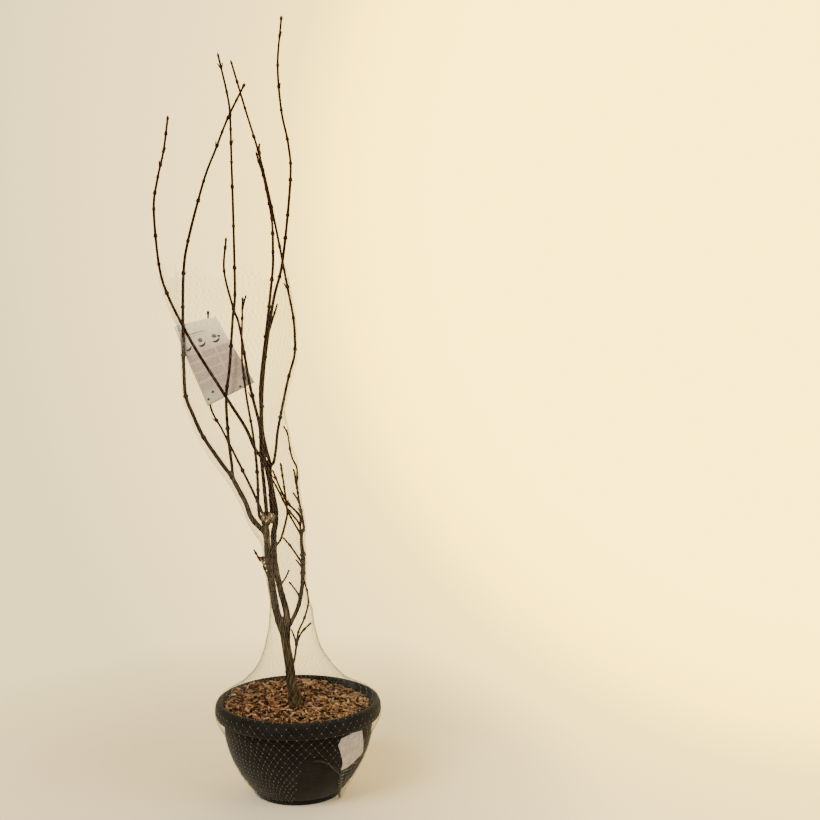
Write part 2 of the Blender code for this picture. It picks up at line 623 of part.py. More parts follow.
def label_spot(across, up):
    """A spot of the label between its four edges."""
    left, right = on_edge(LABEL_LEFT, up), on_edge(LABEL_RIGHT, up)
    foot, top = on_edge(LABEL_FOOT, across), on_edge(LABEL_TOP, across)
    low = on_edge(LABEL_FOOT, -0.5).lerp(on_edge(LABEL_FOOT, 0.5), across + 0.5)
    high = on_edge(LABEL_TOP, -0.5).lerp(on_edge(LABEL_TOP, 0.5), across + 0.5)
    return left.lerp(right, across + 0.5) + foot.lerp(top, up + 0.5) - low.lerp(high, up + 0.5)


def make_label(plant):
    """Paper label that follows the bowl, its top edge under the rim."""
    def place(across, up):
        side, z = label_spot(across, up)
        radius = bowl_radius(z) + GAP
        angle = LABEL_ANGLE + side / bowl_radius(LABEL_MIDDLE)
        return Vector((radius * math.cos(angle), radius * math.sin(angle), z))
    plant.add(thin_sheet("pot_label", place), "paper")


def card_spot(across, up):
    """x and z of a spot on the card, and how far it curls back there."""
    foot = Vector(CARD_FOOT[0]).lerp(Vector(CARD_FOOT[1]), across + 0.5)
    top = Vector(CARD_TOP[0]).lerp(Vector(CARD_TOP[1]), across + 0.5)
    x, z = foot.lerp(top, up + 0.5)
    return x, z, CARD_CURL * (2 * up) ** 2 * (0.5 - across)


def rear_of_limb(tube):
    """Spots where a limb passes in front of the card: x, and y of its rear side."""
    probe = tube.make("probe")
    tree = surface_tree(probe)
    bpy.data.objects.remove(probe, do_unlink=True)
    spots = []
    for i in range(CARD_PROBES):
        for k in range(CARD_PROBES):
            x, z, curl = card_spot(i / (CARD_PROBES - 1) - 0.5, k / (CARD_PROBES - 1) - 0.5)
            hit = tree.ray_cast(Vector((x, 1.0, z)), Vector((0.0, -1.0, 0.0)))[0]
            if hit is not None:
                spots.append((x, hit.y - curl))
    return spots


def make_card(plant, left_limb, right_limb):
    """Care card, caught among the shoots: it leans on the back of two limbs."""
    left_spots = rear_of_limb(left_limb)
    right_spots = rear_of_limb(right_limb)
    slope = 0.0
    for _ in range(CARD_SETTLING):
        left = max(left_spots, key=lambda spot: spot[1] - slope * spot[0])
        right = max(right_spots, key=lambda spot: spot[1] - slope * spot[0])
        slope = (right[1] - left[1]) / (right[0] - left[0])

    def place(across, up):
        x, z, curl = card_spot(across, up)
        return Vector((x, left[1] + slope * (x - left[0]) + curl + 2 * GAP, z))
    card = thin_sheet("care_card", place)
    card.modifiers["thickness"].offset = -1.0
    plant.add(card, "paper")
    room = card.copy()
    room.data = card.data.copy()
    room.modifiers["thickness"].offset = 0.0
    room.modifiers["thickness"].thickness = 2 * (SHEET + GAP)
    bpy.context.scene.collection.objects.link(room)
    solid_room = bpy.data.objects.new("care_card", evaluated_mesh(room))
    bpy.data.objects.remove(room, do_unlink=True)
    plant.take_room(solid_room)


# Buds and side twigs

def node_distances(length, rule):
    """Where the pairs of buds sit, worked out from the tip down."""
    places = []
    at = length - TIP_INTERNODE * rule.uniform(*TIP_SHARE)
    while at > BARE_FOOT:
        places.append(at)
        beyond = max(0, len(places) - SHORT_PAIRS)
        step = min(TIP_INTERNODE + INTERNODE_GROWTH * beyond, LONGEST_INTERNODE)
        at -= step * rule.uniform(*UNEVENNESS)
    return places


def bud_cone(point, direction, length, radius):
    """A pointed bud or twig from a point inside its shoot."""
    shell = bmesh.new()
    bmesh.ops.create_cone(shell, cap_ends=True, segments=4, radius1=radius, radius2=0.0, depth=length)
    turn = UP.rotation_difference(direction).to_matrix().to_4x4()
    stand = Matrix.Translation(point) @ turn @ Matrix.Translation((0.0, 0.0, length / 2))
    bmesh.ops.transform(shell, matrix=stand, verts=shell.verts)
    mesh = bpy.data.meshes.new("bud")
    shell.to_mesh(mesh)
    shell.free()
    return bpy.data.objects.new("bud", mesh)


def grow_buds(tube, rule, plant, heights=(), first=0.0):
    """Pairs of opposite buds, each pair a quarter turn from the one before."""
    if heights:
        places = height_places(tube.path, heights)[::-1]
    else:
        places = node_distances(path_length(tube.path), rule)
    turn = rule.uniform(0.0, math.pi)
    buds = []
    for at in places:
        turn += math.pi / 2 + rule.uniform(-PAIR_SWAY, PAIR_SWAY)
        for half in (0.0, math.pi):
            size = rule.uniform(*UNEVENNESS)
            is_spur = rule.random() < SPUR_SHARE
            reach = rule.uniform(*SPUR_LENGTH)
            if at < first:
                continue
            point, along = on_path(tube.path, at)
            side = along.orthogonal().normalized()
            side.rotate(Matrix.Rotation(turn + half, 3, along))
            lean = along * math.cos(BUD_LEAN) + side * math.sin(BUD_LEAN)
            root = point + side * max(tube.radius(at) - BUD_SINK, 0.0) - along * BUD_SINK
            bud = bud_cone(root, lean, reach if is_spur else BUD_LENGTH * size, BUD_RADIUS * size)
            if plant.touches(bud):
                bpy.data.objects.remove(bud, do_unlink=True)
            else:
                buds.append(bud)
    return buds


def make_mass(plant, limb, tube, name):
    """One shoot with its side twigs and buds joined to it."""
    rule = random.Random(limb.seed)
    stem = tube.make(name)
    bpy.context.scene.collection.objects.link(stem)
    plant.cut_clear(stem)
    members = new_collection("twigs_of_" + name)
    twig_tubes = []
    for way, foot, tip in limb.twigs:
        twig = Limb(name, way, foot, tip, sides=6)
        twig_tube = plain_tube(twig, smooth_path(way), SHOOT_RING_STEP)
        twig_tubes.append(twig_tube)
        members.objects.link(twig_tube.make("twig"))
    for bud in grow_buds(tube, rule, plant, heights=limb.nodes):
        members.objects.link(bud)
    for twig_tube in twig_tubes:
        for bud in grow_buds(twig_tube, rule, plant, first=BARE_TWIG):
            members.objects.link(bud)
    if members.objects:
        apply_boolean(stem, "UNION", collection=members)
    for member in list(members.objects):
        bpy.data.objects.remove(member, do_unlink=True)
    bpy.data.collections.remove(members)
    bpy.context.scene.collection.objects.unlink(stem)
    plant.add(stem, "shoot")
    room = tube.make(name, spread=GAP)
    plant.take_room(room)


# Assembly

def cut_flat(piece, level):
    """Level the foot of the trunk where it stands on the potting mix."""
    for vert in piece.data.vertices:
        if vert.co.z < level + FLARE_HEIGHT / 5:
            vert.co.z = level


def make_limb(plant, limb, tube, name):
    piece = tube.make(name)
    if limb is TRUNK:
        cut_flat(piece, MIX_LEVEL + GAP)
    bpy.context.scene.collection.objects.link(piece)
    plant.cut_clear(piece)
    bpy.context.scene.collection.objects.unlink(piece)
    plant.add(piece, "bark")
    plant.take_room(tube.make(name, spread=GAP))


def halves(limb):
    """The bough and the shoot of a long limb, which meet end to end at its split."""
    path = smooth_path(limb.way)
    length = path_length(path)
    below = [p for p in path if p.z < limb.split]
    cut = path_length(below)
    middle = limb.foot + (limb.tip - limb.foot) * cut / length
    bough = replace(limb, tip=middle)
    shoot = replace(limb, foot=middle, sides=6)
    low = plain_tube(bough, part_of_path(path, 0.0, cut), BOUGH_RING_STEP)
    high = plain_tube(shoot, part_of_path(path, cut + GAP * 1.3, length), SHOOT_RING_STEP)
    return low, high


def main():
    clear_scene()
    plant = Plant()
    make_pot(plant)
    make_mix(plant)
    make_label(plant)

    make_limb(plant, TRUNK, plain_tube(TRUNK, smooth_path(TRUNK.way), RING_STEP, flare=True), TRUNK.name)
    for limb in BOUGHS:
        make_limb(plant, limb, plain_tube(limb, smooth_path(limb.way), RING_STEP), limb.name)

    long_tubes = {limb.name: halves(limb) for limb in LONG_SHOOTS}
    shoot_tubes = {}
    for limb in SHOOTS:
        slim = replace(limb, sides=6)
        shoot_tubes[limb.name] = plain_tube(slim, smooth_path(limb.way), SHOOT_RING_STEP)
    for limb in LONG_SHOOTS:
        make_limb(plant, limb, long_tubes[limb.name][0], limb.name)
    make_card(plant, long_tubes["outer_left_bough"][0], shoot_tubes["short_left_shoot"])
    for limb in LONG_SHOOTS:
        make_mass(plant, limb, long_tubes[limb.name][1], limb.upper)
    for limb in SHOOTS:
        make_mass(plant, limb, shoot_tubes[limb.name], limb.name)
    plant.drop_cutters()


main()
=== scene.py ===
"""Looks of a bare young maple in its nursery pot.

Metres, +Z up. The origin is the middle of the pot's flat underside, +X is to the right
as the plant is seen from its front, and +Y is away from the viewer. The tables of limbs
and the rule of the buds are those of the plant's solids, carried here to bark, bud
scales, mulch and net.
"""
import math
import random
from dataclasses import dataclass
from itertools import product

import bpy
import numpy as np
from mathutils import Matrix, Vector


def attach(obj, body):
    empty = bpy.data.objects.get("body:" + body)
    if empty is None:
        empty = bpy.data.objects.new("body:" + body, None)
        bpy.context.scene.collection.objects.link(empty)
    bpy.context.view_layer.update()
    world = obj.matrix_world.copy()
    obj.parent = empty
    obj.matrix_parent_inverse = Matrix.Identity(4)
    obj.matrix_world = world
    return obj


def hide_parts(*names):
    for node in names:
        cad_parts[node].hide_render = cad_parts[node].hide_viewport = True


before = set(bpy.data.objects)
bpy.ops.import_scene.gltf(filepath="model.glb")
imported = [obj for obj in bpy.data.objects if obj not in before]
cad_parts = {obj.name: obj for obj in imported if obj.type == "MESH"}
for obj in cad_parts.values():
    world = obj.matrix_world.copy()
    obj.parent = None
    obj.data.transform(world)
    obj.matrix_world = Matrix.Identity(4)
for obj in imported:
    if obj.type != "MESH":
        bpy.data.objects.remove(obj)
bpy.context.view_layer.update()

GAP = 0.0003                    # clearance between parts that meet

# Camera
CAMERA_PLACE = (0.203, -2.311, 0.899)
CAMERA_TILT = math.radians(85.0)
CAMERA_LENS = 57.1
SENSOR = 36.0

# Pot
POT_HEIGHT = 0.172
RIM_RADIUS = 0.1497
RIM_MOUTH = 0.1400
RIM_BAND = 0.030
RIM_OUTSIDE = ((0.0, 0.0), (0.5, 0.05), (0.9, 0.28), (1.0, 0.6), (0.85, 0.9), (0.59, 1.0))
RIM_HOLLOW = ((0.38, 0.97), (0.54, 0.47), (0.2, 0.27))
LIP_INSET = 0.0035
LIP_DROP = 0.006
BOWL_TOP_RADIUS = 0.1345
BOWL_FOOT_RADIUS = 0.0835
FOOT_RADIUS = 0.0775
FOOT_HEIGHT = 0.011
FOOT_STEP = 0.001
BOWL_FULLNESS = 2.2
WALL = 0.0028
POT_TURNS = 168

# Potting mix and its shredded bark
MIX_LEVEL = 0.157
MIX_EDGE_LEVEL = 0.159
MIX_FLAT_RADIUS = 0.035
MULCH_RADIUS = 0.1345
MULCH_CHIPS = 2700
MULCH_RINGS = 60
MULCH_TURNS = 180

# Sheets
SHEET = 0.0004
CARD_TOP = ((-0.2262, 0.8447), (-0.1464, 0.8626))
CARD_FOOT = ((-0.1640, 0.7005), (-0.0752, 0.7455))
CARD_CURL = 0.0030
LABEL_ANGLE = math.radians(-37.2)
LABEL_MIDDLE = 0.104
LABEL_TOP = ((-0.5, -0.0334, 0.1325), (0.0, -0.0100, 0.1366), (0.5, 0.0173, 0.1337))
LABEL_FOOT = ((-0.5, -0.0245, 0.0687), (-0.1667, -0.0088, 0.0703), (0.5, 0.0341, 0.0873))
LABEL_LEFT = ((-0.5, -0.0245, 0.0687), (-0.1667, -0.0244, 0.0836), (0.3333, -0.0399, 0.1212),
              (0.5, -0.0334, 0.1325))
LABEL_RIGHT = ((-0.5, 0.0341, 0.0873), (0.5, 0.0173, 0.1337))

# Limbs
PATH_STEP = 0.004
FLARE_HEIGHT = 0.014
FLARE_GROWTH = 0.36
KNOB_SHAPE = ((0.0, 0.7), (0.25, 0.82), (0.52, 1.0), (0.78, 0.86), (0.93, 0.55), (1.0, 0.25))

# Buds and side twigs of the shoots
TIP_INTERNODE = 0.026
INTERNODE_GROWTH = 0.0065
TIP_SHARE = (0.5, 0.7)
SHORT_PAIRS = 4
LONGEST_INTERNODE = 0.068
BUD_LENGTH = 0.0052
BUD_RADIUS = 0.0014
BUD_SINK = 0.0006
BUD_LEAN = math.radians(26.0)
PAIR_SWAY = 0.2
UNEVENNESS = (0.85, 1.15)
SPUR_SHARE = 0.10
SPUR_LENGTH = (0.0065, 0.0085)
BARE_FOOT = 0.020
BARE_TWIG = 0.012

# Fineness of the dressed limbs
STEM_CELL = 0.00074             # grid of the trunk and stems
STEM_BLEND = 0.0042             # roundness of the crotches
STEM_FIELD = 0.012              # the field is worked out this far from a limb
BOUGH_STEP = 0.0011
SHOOT_STEP = 0.0013
BOUGH_SIDES = 20
SHOOT_SIDES = 14
TWIG_SIDES = 9


@dataclass(frozen=True)
class Limb:
    """A tapering limb. `split` is the height at which it is made in two pieces."""
    name: str
    way: tuple
    foot: float                 # diameters
    tip: float
    girth: tuple = ()           # (height, diameter), where a limb doesn't taper evenly
    knob: tuple = ()            # diameter and height of the burr that ends it
    split: float = 0.0
    upper: str = ""
    seed: int = 0
    nodes: tuple = ()           # heights of its pairs of buds, where they don't follow the rule
    twigs: tuple = ()           # side twigs of a shoot: ((stations), foot, tip)


TRUNK = Limb("trunk",
             ((-0.005, 0.0, MIX_LEVEL + GAP), (-0.0078, 0.0, 0.18), (-0.0126, 0.0, 0.203),
              (-0.0157, 0.0, 0.233), (-0.021, 0.0, 0.268), (-0.0237, 0.0, 0.29), (-0.0275, 0.0, 0.302),
              (-0.0336, -0.0005, 0.315)),
             0.0205, 0.0125,
             girth=((0.171, 0.0205), (0.18, 0.019), (0.203, 0.016), (0.235, 0.015), (0.28, 0.014),
                    (0.29, 0.016), (0.302, 0.018), (0.315, 0.0125)))

# Stems and boughs, in the order in which they leave the trunk
BOUGHS = (
    Limb("left_stem",
         ((-0.0336, -0.0005, 0.315), (-0.0393, -0.0011, 0.3358), (-0.0446, -0.0021, 0.3711),
          (-0.051, -0.0037, 0.4217), (-0.0545, -0.0051, 0.4703), (-0.056, -0.0057, 0.4885),
          (-0.0536, -0.006, 0.511)),
         0.0118, 0.0102, knob=(0.018, 0.018)),
    Limb("middle_stem",
         ((-0.0205, 0.001, 0.285), (-0.0202, 0.0034, 0.3141), (-0.022, 0.0052, 0.3343),
          (-0.0315, 0.0073, 0.369), (-0.0413, 0.0102, 0.4189), (-0.0437, 0.0125, 0.4675),
          (-0.0401, 0.0131, 0.4899), (-0.0394, 0.0139, 0.5179), (-0.046, 0.0149, 0.5542),
          (-0.0491, 0.0155, 0.5778), (-0.0512, 0.0161, 0.602)),
         0.0103, 0.0058, knob=(0.0096, 0.0128),
         girth=((0.34, 0.0103), (0.36, 0.0095), (0.497, 0.0093), (0.508, 0.007), (0.535, 0.006),
                (0.6, 0.0058))),
    Limb("right_bough",
         ((-0.0215, -0.0012, 0.293), (-0.01, -0.0045, 0.3161), (0.0001, -0.0077, 0.3374),
          (0.0052, -0.0105, 0.3555), (0.0084, -0.0133, 0.3737), (0.0109, -0.016, 0.3918),
          (0.0112, -0.018, 0.404)),
         0.006, 0.0064),
    Limb("left_bough",
         ((-0.057, -0.0046, 0.4775), (-0.0669, -0.0027, 0.4855), (-0.0828, 0.0017, 0.5036),
          (-0.093, 0.0077, 0.5286), (-0.1063, 0.0133, 0.5521), (-0.1199, 0.0189, 0.5765)),
         0.008, 0.007, knob=(0.0086, 0.0086)),
)

# Long shoots whose lower part is a bough of its own
LONG_SHOOTS = (
    Limb("outer_left_bough",
         ((-0.1195, 0.0192, 0.5755), (-0.1352, 0.022, 0.595), (-0.1702, 0.027, 0.645),
          (-0.1892, 0.031, 0.685), (-0.2024, 0.035, 0.718), (-0.206, 0.0395, 0.76),
          (-0.2078, 0.046, 0.846), (-0.207, 0.056, 0.94), (-0.199, 0.062, 0.999), (-0.169, 0.061, 1.106),
          (-0.1455, 0.056, 1.163), (-0.1225, 0.049, 1.216), (-0.092, 0.04, 1.272)),
         0.0062, 0.0025, split=0.846, upper="outer_left_shoot", seed=6,
         nodes=(0.6455, 0.7192, 0.793, 0.8795, 0.9408, 0.9986, 1.0702, 1.1059, 1.1675, 1.1919, 1.2161,
                1.247)),
    Limb("leaning_left_bough",
         ((-0.0515, 0.0155, 0.5945), (-0.057, 0.014, 0.603), (-0.074, 0.009, 0.624),
          (-0.0905, -0.001, 0.665), (-0.1215, -0.0145, 0.719), (-0.1695, -0.036, 0.803),
          (-0.192, -0.047, 0.848), (-0.2158, -0.061, 0.904), (-0.2271, -0.071, 0.954),
          (-0.232, -0.082, 1.046), (-0.2246, -0.085, 1.095), (-0.2138, -0.081, 1.145),
          (-0.207, -0.076, 1.199)),
         0.0052, 0.0025, split=0.848, upper="leaning_left_shoot", seed=1,
         nodes=(0.9045, 0.9539, 1.0012, 1.0464, 1.0731, 1.0998, 1.12, 1.1436, 1.1723)),
    Limb("bowed_right_bough",
         ((-0.05, 0.015, 0.595), (-0.0425, 0.0118, 0.601), (-0.0365, 0.001, 0.63),
          (-0.032, -0.007, 0.663), (-0.012, -0.028, 0.751), (0.001, -0.0395, 0.795),
          (0.0025, -0.044, 0.829), (0.0, -0.048, 0.865), (-0.009, -0.054, 0.916), (-0.027, -0.062, 1.016),
          (-0.052, -0.06, 1.13), (-0.079, -0.052, 1.219), (-0.103, -0.041, 1.298)),
         0.0042, 0.0022, split=0.829, upper="bowed_right_shoot", seed=8,
         nodes=(0.6854, 0.7594, 0.8073, 0.8609, 0.9148, 0.9849, 1.0511, 1.1138, 1.1699, 1.2193, 1.2639)),
    Limb("tall_bough",
         ((-0.051, 0.017, 0.595), (-0.0512, 0.0225, 0.603), (-0.057, 0.0235, 0.624),
          (-0.064, 0.0245, 0.666), (-0.063, 0.0275, 0.735), (-0.056, 0.031, 0.804),
          (-0.042, 0.036, 0.894), (-0.026, 0.042, 0.963), (-0.012, 0.054, 1.108), (-0.0155, 0.057, 1.17),
          (-0.0278, 0.06, 1.231), (-0.034, 0.063, 1.312), (-0.027, 0.065, 1.394)),
         0.0054, 0.0025, split=0.82, upper="tall_shoot", seed=2,
         nodes=(0.7012, 0.7905, 0.8596, 0.9337, 1.0032, 1.0444, 1.107, 1.1374, 1.1801, 1.2317, 1.2725,
                1.3114, 1.3625),
         twigs=((((-0.054, 0.0318, 0.8245), (-0.0475, 0.032, 0.846), (-0.0355, 0.031, 0.884)),
                  0.0024, 0.0015),)),
    Limb("middle_bough",
         ((-0.053, -0.0045, 0.502), (-0.0454, -0.0025, 0.5121), (-0.0462, -0.0023, 0.5296),
          (-0.047, -0.0029, 0.5533), (-0.0523, 0.0009, 0.5825), (-0.0582, 0.0042, 0.6083),
          (-0.0628, 0.0044, 0.6515), (-0.0631, 0.0024, 0.6912), (-0.063, 0.003, 0.745),
          (-0.051, 0.004, 0.848), (-0.0418, 0.018, 0.943), (-0.0415, 0.025, 0.985),
          (-0.043, 0.033, 1.0232), (-0.0471, 0.039, 1.0529), (-0.0595, 0.045, 1.1129),
          (-0.067, 0.048, 1.1361), (-0.0718, 0.049, 1.153)),
         0.0062, 0.0025, split=0.735, upper="middle_shoot", seed=3,
         twigs=((((-0.0618, 0.0455, 1.123), (-0.0648, 0.042, 1.1483), (-0.0665, 0.042, 1.1607),
                  (-0.0658, 0.043, 1.1692)), 0.0026, 0.0018),)),
)

# Shoots that are one mass from foot to tip
SHOOTS = (
    Limb("inner_left_shoot",
         ((-0.1183, 0.0192, 0.575), (-0.1185, 0.021, 0.59), (-0.124, 0.015, 0.65), (-0.126, 0.011, 0.72),
          (-0.119, 0.008, 0.773), (-0.112, 0.008, 0.864), (-0.108, 0.008, 0.902), (-0.11, 0.015, 1.024),
          (-0.1135, 0.024, 1.14), (-0.116, 0.031, 1.219), (-0.122, 0.037, 1.259), (-0.138, 0.045, 1.326)),
         0.0046, 0.0025, seed=7,
         nodes=(0.6622, 0.7386, 0.8106, 0.9011, 0.9488, 1.023, 1.0918, 1.1359, 1.1694, 1.1941, 1.2189,
                1.2599, 1.3043)),
    Limb("rear_left_shoot",
         ((-0.056, -0.0025, 0.503), (-0.0629, 0.0042, 0.511), (-0.067, 0.0062, 0.521),
          (-0.0855, 0.0138, 0.5588), (-0.115, 0.027, 0.615), (-0.138, 0.039, 0.657),
          (-0.16, 0.049, 0.698), (-0.1665, 0.054, 0.76), (-0.164, 0.06, 0.869)),
         0.004, 0.002, seed=5),
    Limb("short_left_shoot",
         ((-0.057, -0.0085, 0.5015), (-0.064, -0.01, 0.502), (-0.0672, -0.0106, 0.5135),
          (-0.0681, -0.0113, 0.5311), (-0.0691, -0.0135, 0.5866), (-0.076, -0.01, 0.652),
          (-0.087, 0.001, 0.71), (-0.094, 0.011, 0.754), (-0.098, 0.017, 0.798), (-0.096, 0.019, 0.894)),
         0.0044, 0.0018, seed=15,
         nodes=(0.5547, 0.5872, 0.6777, 0.7533, 0.8209, 0.8584, 0.8816),
         twigs=((((-0.0965, 0.019, 0.876), (-0.094, 0.02, 0.886), (-0.0905, 0.0215, 0.899)),
                  0.0018, 0.0014),)),
    Limb("front_left_shoot",
         ((-0.0536, -0.0085, 0.504), (-0.0534, -0.015, 0.511), (-0.0534, -0.017, 0.5248),
          (-0.0557, -0.0209, 0.5572), (-0.0604, -0.0269, 0.6218), (-0.062, -0.029, 0.67),
          (-0.078, -0.031, 0.742), (-0.095, -0.034, 0.846), (-0.105, -0.035, 0.877),
          (-0.12, -0.038, 0.942), (-0.116, -0.04, 0.997)),
         0.006, 0.0023, seed=4,
         nodes=(0.6515, 0.7242, 0.7999, 0.8767, 0.9426, 0.9823)),
    Limb("low_middle_shoot",
         ((-0.0435, 0.0115, 0.4445), (-0.038, 0.0115, 0.4515), (-0.03, 0.01, 0.463),
          (-0.02, 0.006, 0.498), (-0.018, 0.003, 0.516), (-0.022, -0.004, 0.558), (-0.027, -0.012, 0.6)),
         0.0034, 0.002, seed=12,
         nodes=(0.5273, 0.5583, 0.5805, 0.5922)),
    Limb("right_shoot",
         ((0.0112, -0.018, 0.404), (0.0122, -0.0229, 0.4366), (0.01, -0.0265, 0.4602),
          (0.0104, -0.0282, 0.477), (0.0143, -0.0292, 0.489), (0.0124, -0.0302, 0.5058),
          (0.0066, -0.0323, 0.5391), (0.0033, -0.034, 0.5668), (0.0038, -0.0358, 0.596),
          (-0.0026, -0.0372, 0.6108), (-0.0067, -0.0385, 0.624), (-0.0091, -0.0406, 0.6404),
          (-0.0116, -0.0427, 0.6583), (-0.0177, -0.044, 0.6711)),
         0.0064, 0.0013, seed=11,
         girth=((0.404, 0.0064), (0.437, 0.0068), (0.46, 0.0056), (0.482, 0.004), (0.52, 0.003),
                (0.671, 0.0013)),
         twigs=((((0.0112, -0.019, 0.415), (-0.0005, -0.016, 0.4285)), 0.0024, 0.0014),
                (((0.0115, -0.0208, 0.4225), (-0.01, -0.016, 0.453), (-0.023, -0.014, 0.468)),
                  0.0026, 0.0015),
                (((0.0102, -0.028, 0.4745), (0.0061, -0.0309, 0.4832), (-0.0048, -0.0402, 0.5057),
                  (-0.0131, -0.046, 0.5231)), 0.0022, 0.0014),
                (((0.0102, -0.0281, 0.4763), (0.0085, -0.0316, 0.4887), (0.0075, -0.0348, 0.5121),
                  (-0.0146, -0.0385, 0.5383), (-0.0316, -0.0441, 0.5772), (-0.0376, -0.046, 0.5934)),
                  0.0028, 0.0015),
                (((0.0083, -0.0324, 0.4945), (0.0033, -0.0296, 0.5021), (-0.0151, -0.0251, 0.5243),
                  (-0.0288, -0.0198, 0.5508), (-0.0427, -0.0149, 0.5755)), 0.0022, 0.0014),
                (((0.0073, -0.0321, 0.5352), (0.0011, -0.0291, 0.5447), (-0.0036, -0.028, 0.5511)),
                  0.002, 0.0014),
                (((0.0042, -0.0336, 0.56), (0.0008, -0.0314, 0.5718), (-0.001, -0.0302, 0.5877),
                  (-0.0029, -0.03, 0.593)), 0.0022, 0.0016))),
    Limb("right_spur",
         ((0.006, -0.0115, 0.359), (-0.002, -0.0105, 0.372), (-0.0125, -0.0095, 0.3855)),
         0.0024, 0.0016, seed=21),
    Limb("middle_spur",
         ((-0.033, 0.0078, 0.376), (-0.022, 0.005, 0.392), (-0.016, 0.003, 0.405)),
         0.0024, 0.0014, seed=22),
    Limb("broken_spur",
         ((-0.05, -0.0032, 0.4), (-0.057, -0.004, 0.413), (-0.0632, -0.0053, 0.4265),
          (-0.065, -0.0058, 0.4315), (-0.07, -0.0068, 0.4365), (-0.0773, -0.0085, 0.4462)),
         0.009, 0.0014, seed=23,
         girth=((0.4, 0.0085), (0.4265, 0.0105), (0.4315, 0.0115), (0.4345, 0.0026), (0.4462, 0.0014))),
    Limb("low_sucker",
         ((-0.013, -0.002, 0.233), (-0.007, -0.0055, 0.241), (-0.003, -0.008, 0.264),
          (-0.0005, -0.01, 0.284), (0.003, -0.0115, 0.3), (0.013, -0.014, 0.322), (0.0205, -0.016, 0.351),
          (0.0185, -0.019, 0.375), (0.014, -0.02, 0.39)),
         0.0034, 0.0013, seed=24,
         twigs=((((-0.0018, -0.009, 0.275), (0.008, -0.012, 0.296), (0.024, -0.014, 0.313)),
                  0.0024, 0.0015),
                (((-0.0018, -0.009, 0.275), (-0.006, -0.0125, 0.289), (-0.01, -0.015, 0.301)),
                  0.002, 0.0013))),
)


# Fixed noise, so that every run gives the same relief

CUBE = tuple(product((0, 1), repeat=3))


def lattice(x, y, z, seed):
    """Numbers from 0 to 1 that belong to whole-numbered places."""
    mixed = (x * 73856093) ^ (y * 19349663) ^ (z * 83492791) ^ np.int64(seed * 961748927)
    with np.errstate(over="ignore"):
        mixed = (mixed ^ (mixed >> 13)) * 1274126177
    mixed = mixed ^ (mixed >> 16)
    return (mixed & 0xFFFFFF) / float(0xFFFFFF)


def noise(places, scale, seed=0):
    """Smooth noise from -0.5 to 0.5 at places (..., 3)."""
    where = np.asarray(places) * np.asarray(scale, dtype=float)
    low = np.floor(where)
    part = where - low
    part = part * part * (3 - 2 * part)
    low = low.astype(np.int64)
    total = 0.0
    for corner in CUBE:
        wx, wy, wz = (part[..., k] if step else 1 - part[..., k] for k, step in enumerate(corner))
        x, y, z = (low[..., k] + step for k, step in enumerate(corner))
        total = total + wx * wy * wz * lattice(x, y, z, seed)
    return total - 0.5


# Meshes from arrays

class Shell:
    """Gathers the faces of one piece, each lot with the number of its look."""

    def __init__(self):
        self.verts = []
        self.loops = []
        self.sizes = []
        self.looks = []
        self.count = 0

    def add(self, verts, *groups, look=0):
        """Verts (n, 3), and groups of faces (m, 3) or (m, 4) that number them."""
        for faces in groups:
            faces = np.asarray(faces, dtype=np.int64)
            if len(faces) == 0:
                continue
            self.loops.append((faces + self.count).ravel())
            self.sizes.append(np.full(len(faces), faces.shape[1]))
            self.looks.append(np.full(len(faces), look))
        self.verts.append(np.asarray(verts, dtype=float).reshape(-1, 3))
        self.count += len(self.verts[-1])

    def piece(self, name, looks, replaced=(), slot=None, sharp=None):
        """Make the mesh object, which rides on the one body and stands for the replaced nodes."""
        mesh = bpy.data.meshes.new(name)
        verts = np.concatenate(self.verts)
        loops = np.concatenate(self.loops)
        sizes = np.concatenate(self.sizes)
        mesh.vertices.add(len(verts))
        mesh.vertices.foreach_set("co", verts.astype(np.float32).ravel())
        mesh.loops.add(len(loops))
        mesh.loops.foreach_set("vertex_index", loops.astype(np.int32))
        mesh.polygons.add(len(sizes))
        starts = np.concatenate(([0], np.cumsum(sizes)[:-1]))
        mesh.polygons.foreach_set("loop_start", starts.astype(np.int32))
        mesh.polygons.foreach_set("material_index", np.concatenate(self.looks).astype(np.int32))
        mesh.update(calc_edges=True)
        mesh.validate()
        mesh.shade_smooth()
        if sharp is not None:
            mesh.set_sharp_from_angle(angle=math.radians(sharp))
        for look in looks:
            mesh.materials.append(look)
        obj = bpy.data.objects.new(name, mesh)
        bpy.context.scene.collection.objects.link(obj)
        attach(obj, "root")
        if replaced:
            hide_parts(*replaced)


def grid_quads(rows, columns, closed=True):
    """Quads of a grid of vertices, whose columns may run round."""
    r = np.arange(rows - 1)[:, None] * columns
    c = np.arange(columns if closed else columns - 1)[None, :]
    n = (c + 1) % columns
    quads = np.stack([r + c, r + n, r + columns + n, r + columns + c], axis=-1)
    return quads.reshape(-1, 4)


def fan(first, count, middle, flipped=False):
    """Triangles from a ring of vertices to the one in its middle."""
    ring = first + np.arange(count)
    beyond = first + (np.arange(count) + 1) % count
    if flipped:
        ring, beyond = beyond, ring
    return np.stack([ring, beyond, np.full(count, middle)], axis=-1)


def polar(radius, turn, height):
    """Points at angles round the upright axis."""
    return np.stack([radius * np.cos(turn), radius * np.sin(turn), height], axis=-1)


# Paths

BARK_SHARE = 1.05               # the bark stands out of the solids by this share and by BARK
BARK = 0.00046
THIN_BARK = 0.00022             # more of it on limbs thinner than THIN_WIDTH
THIN_WIDTH = 0.0034
THINNING = 0.0014               # over which the first turns to the second


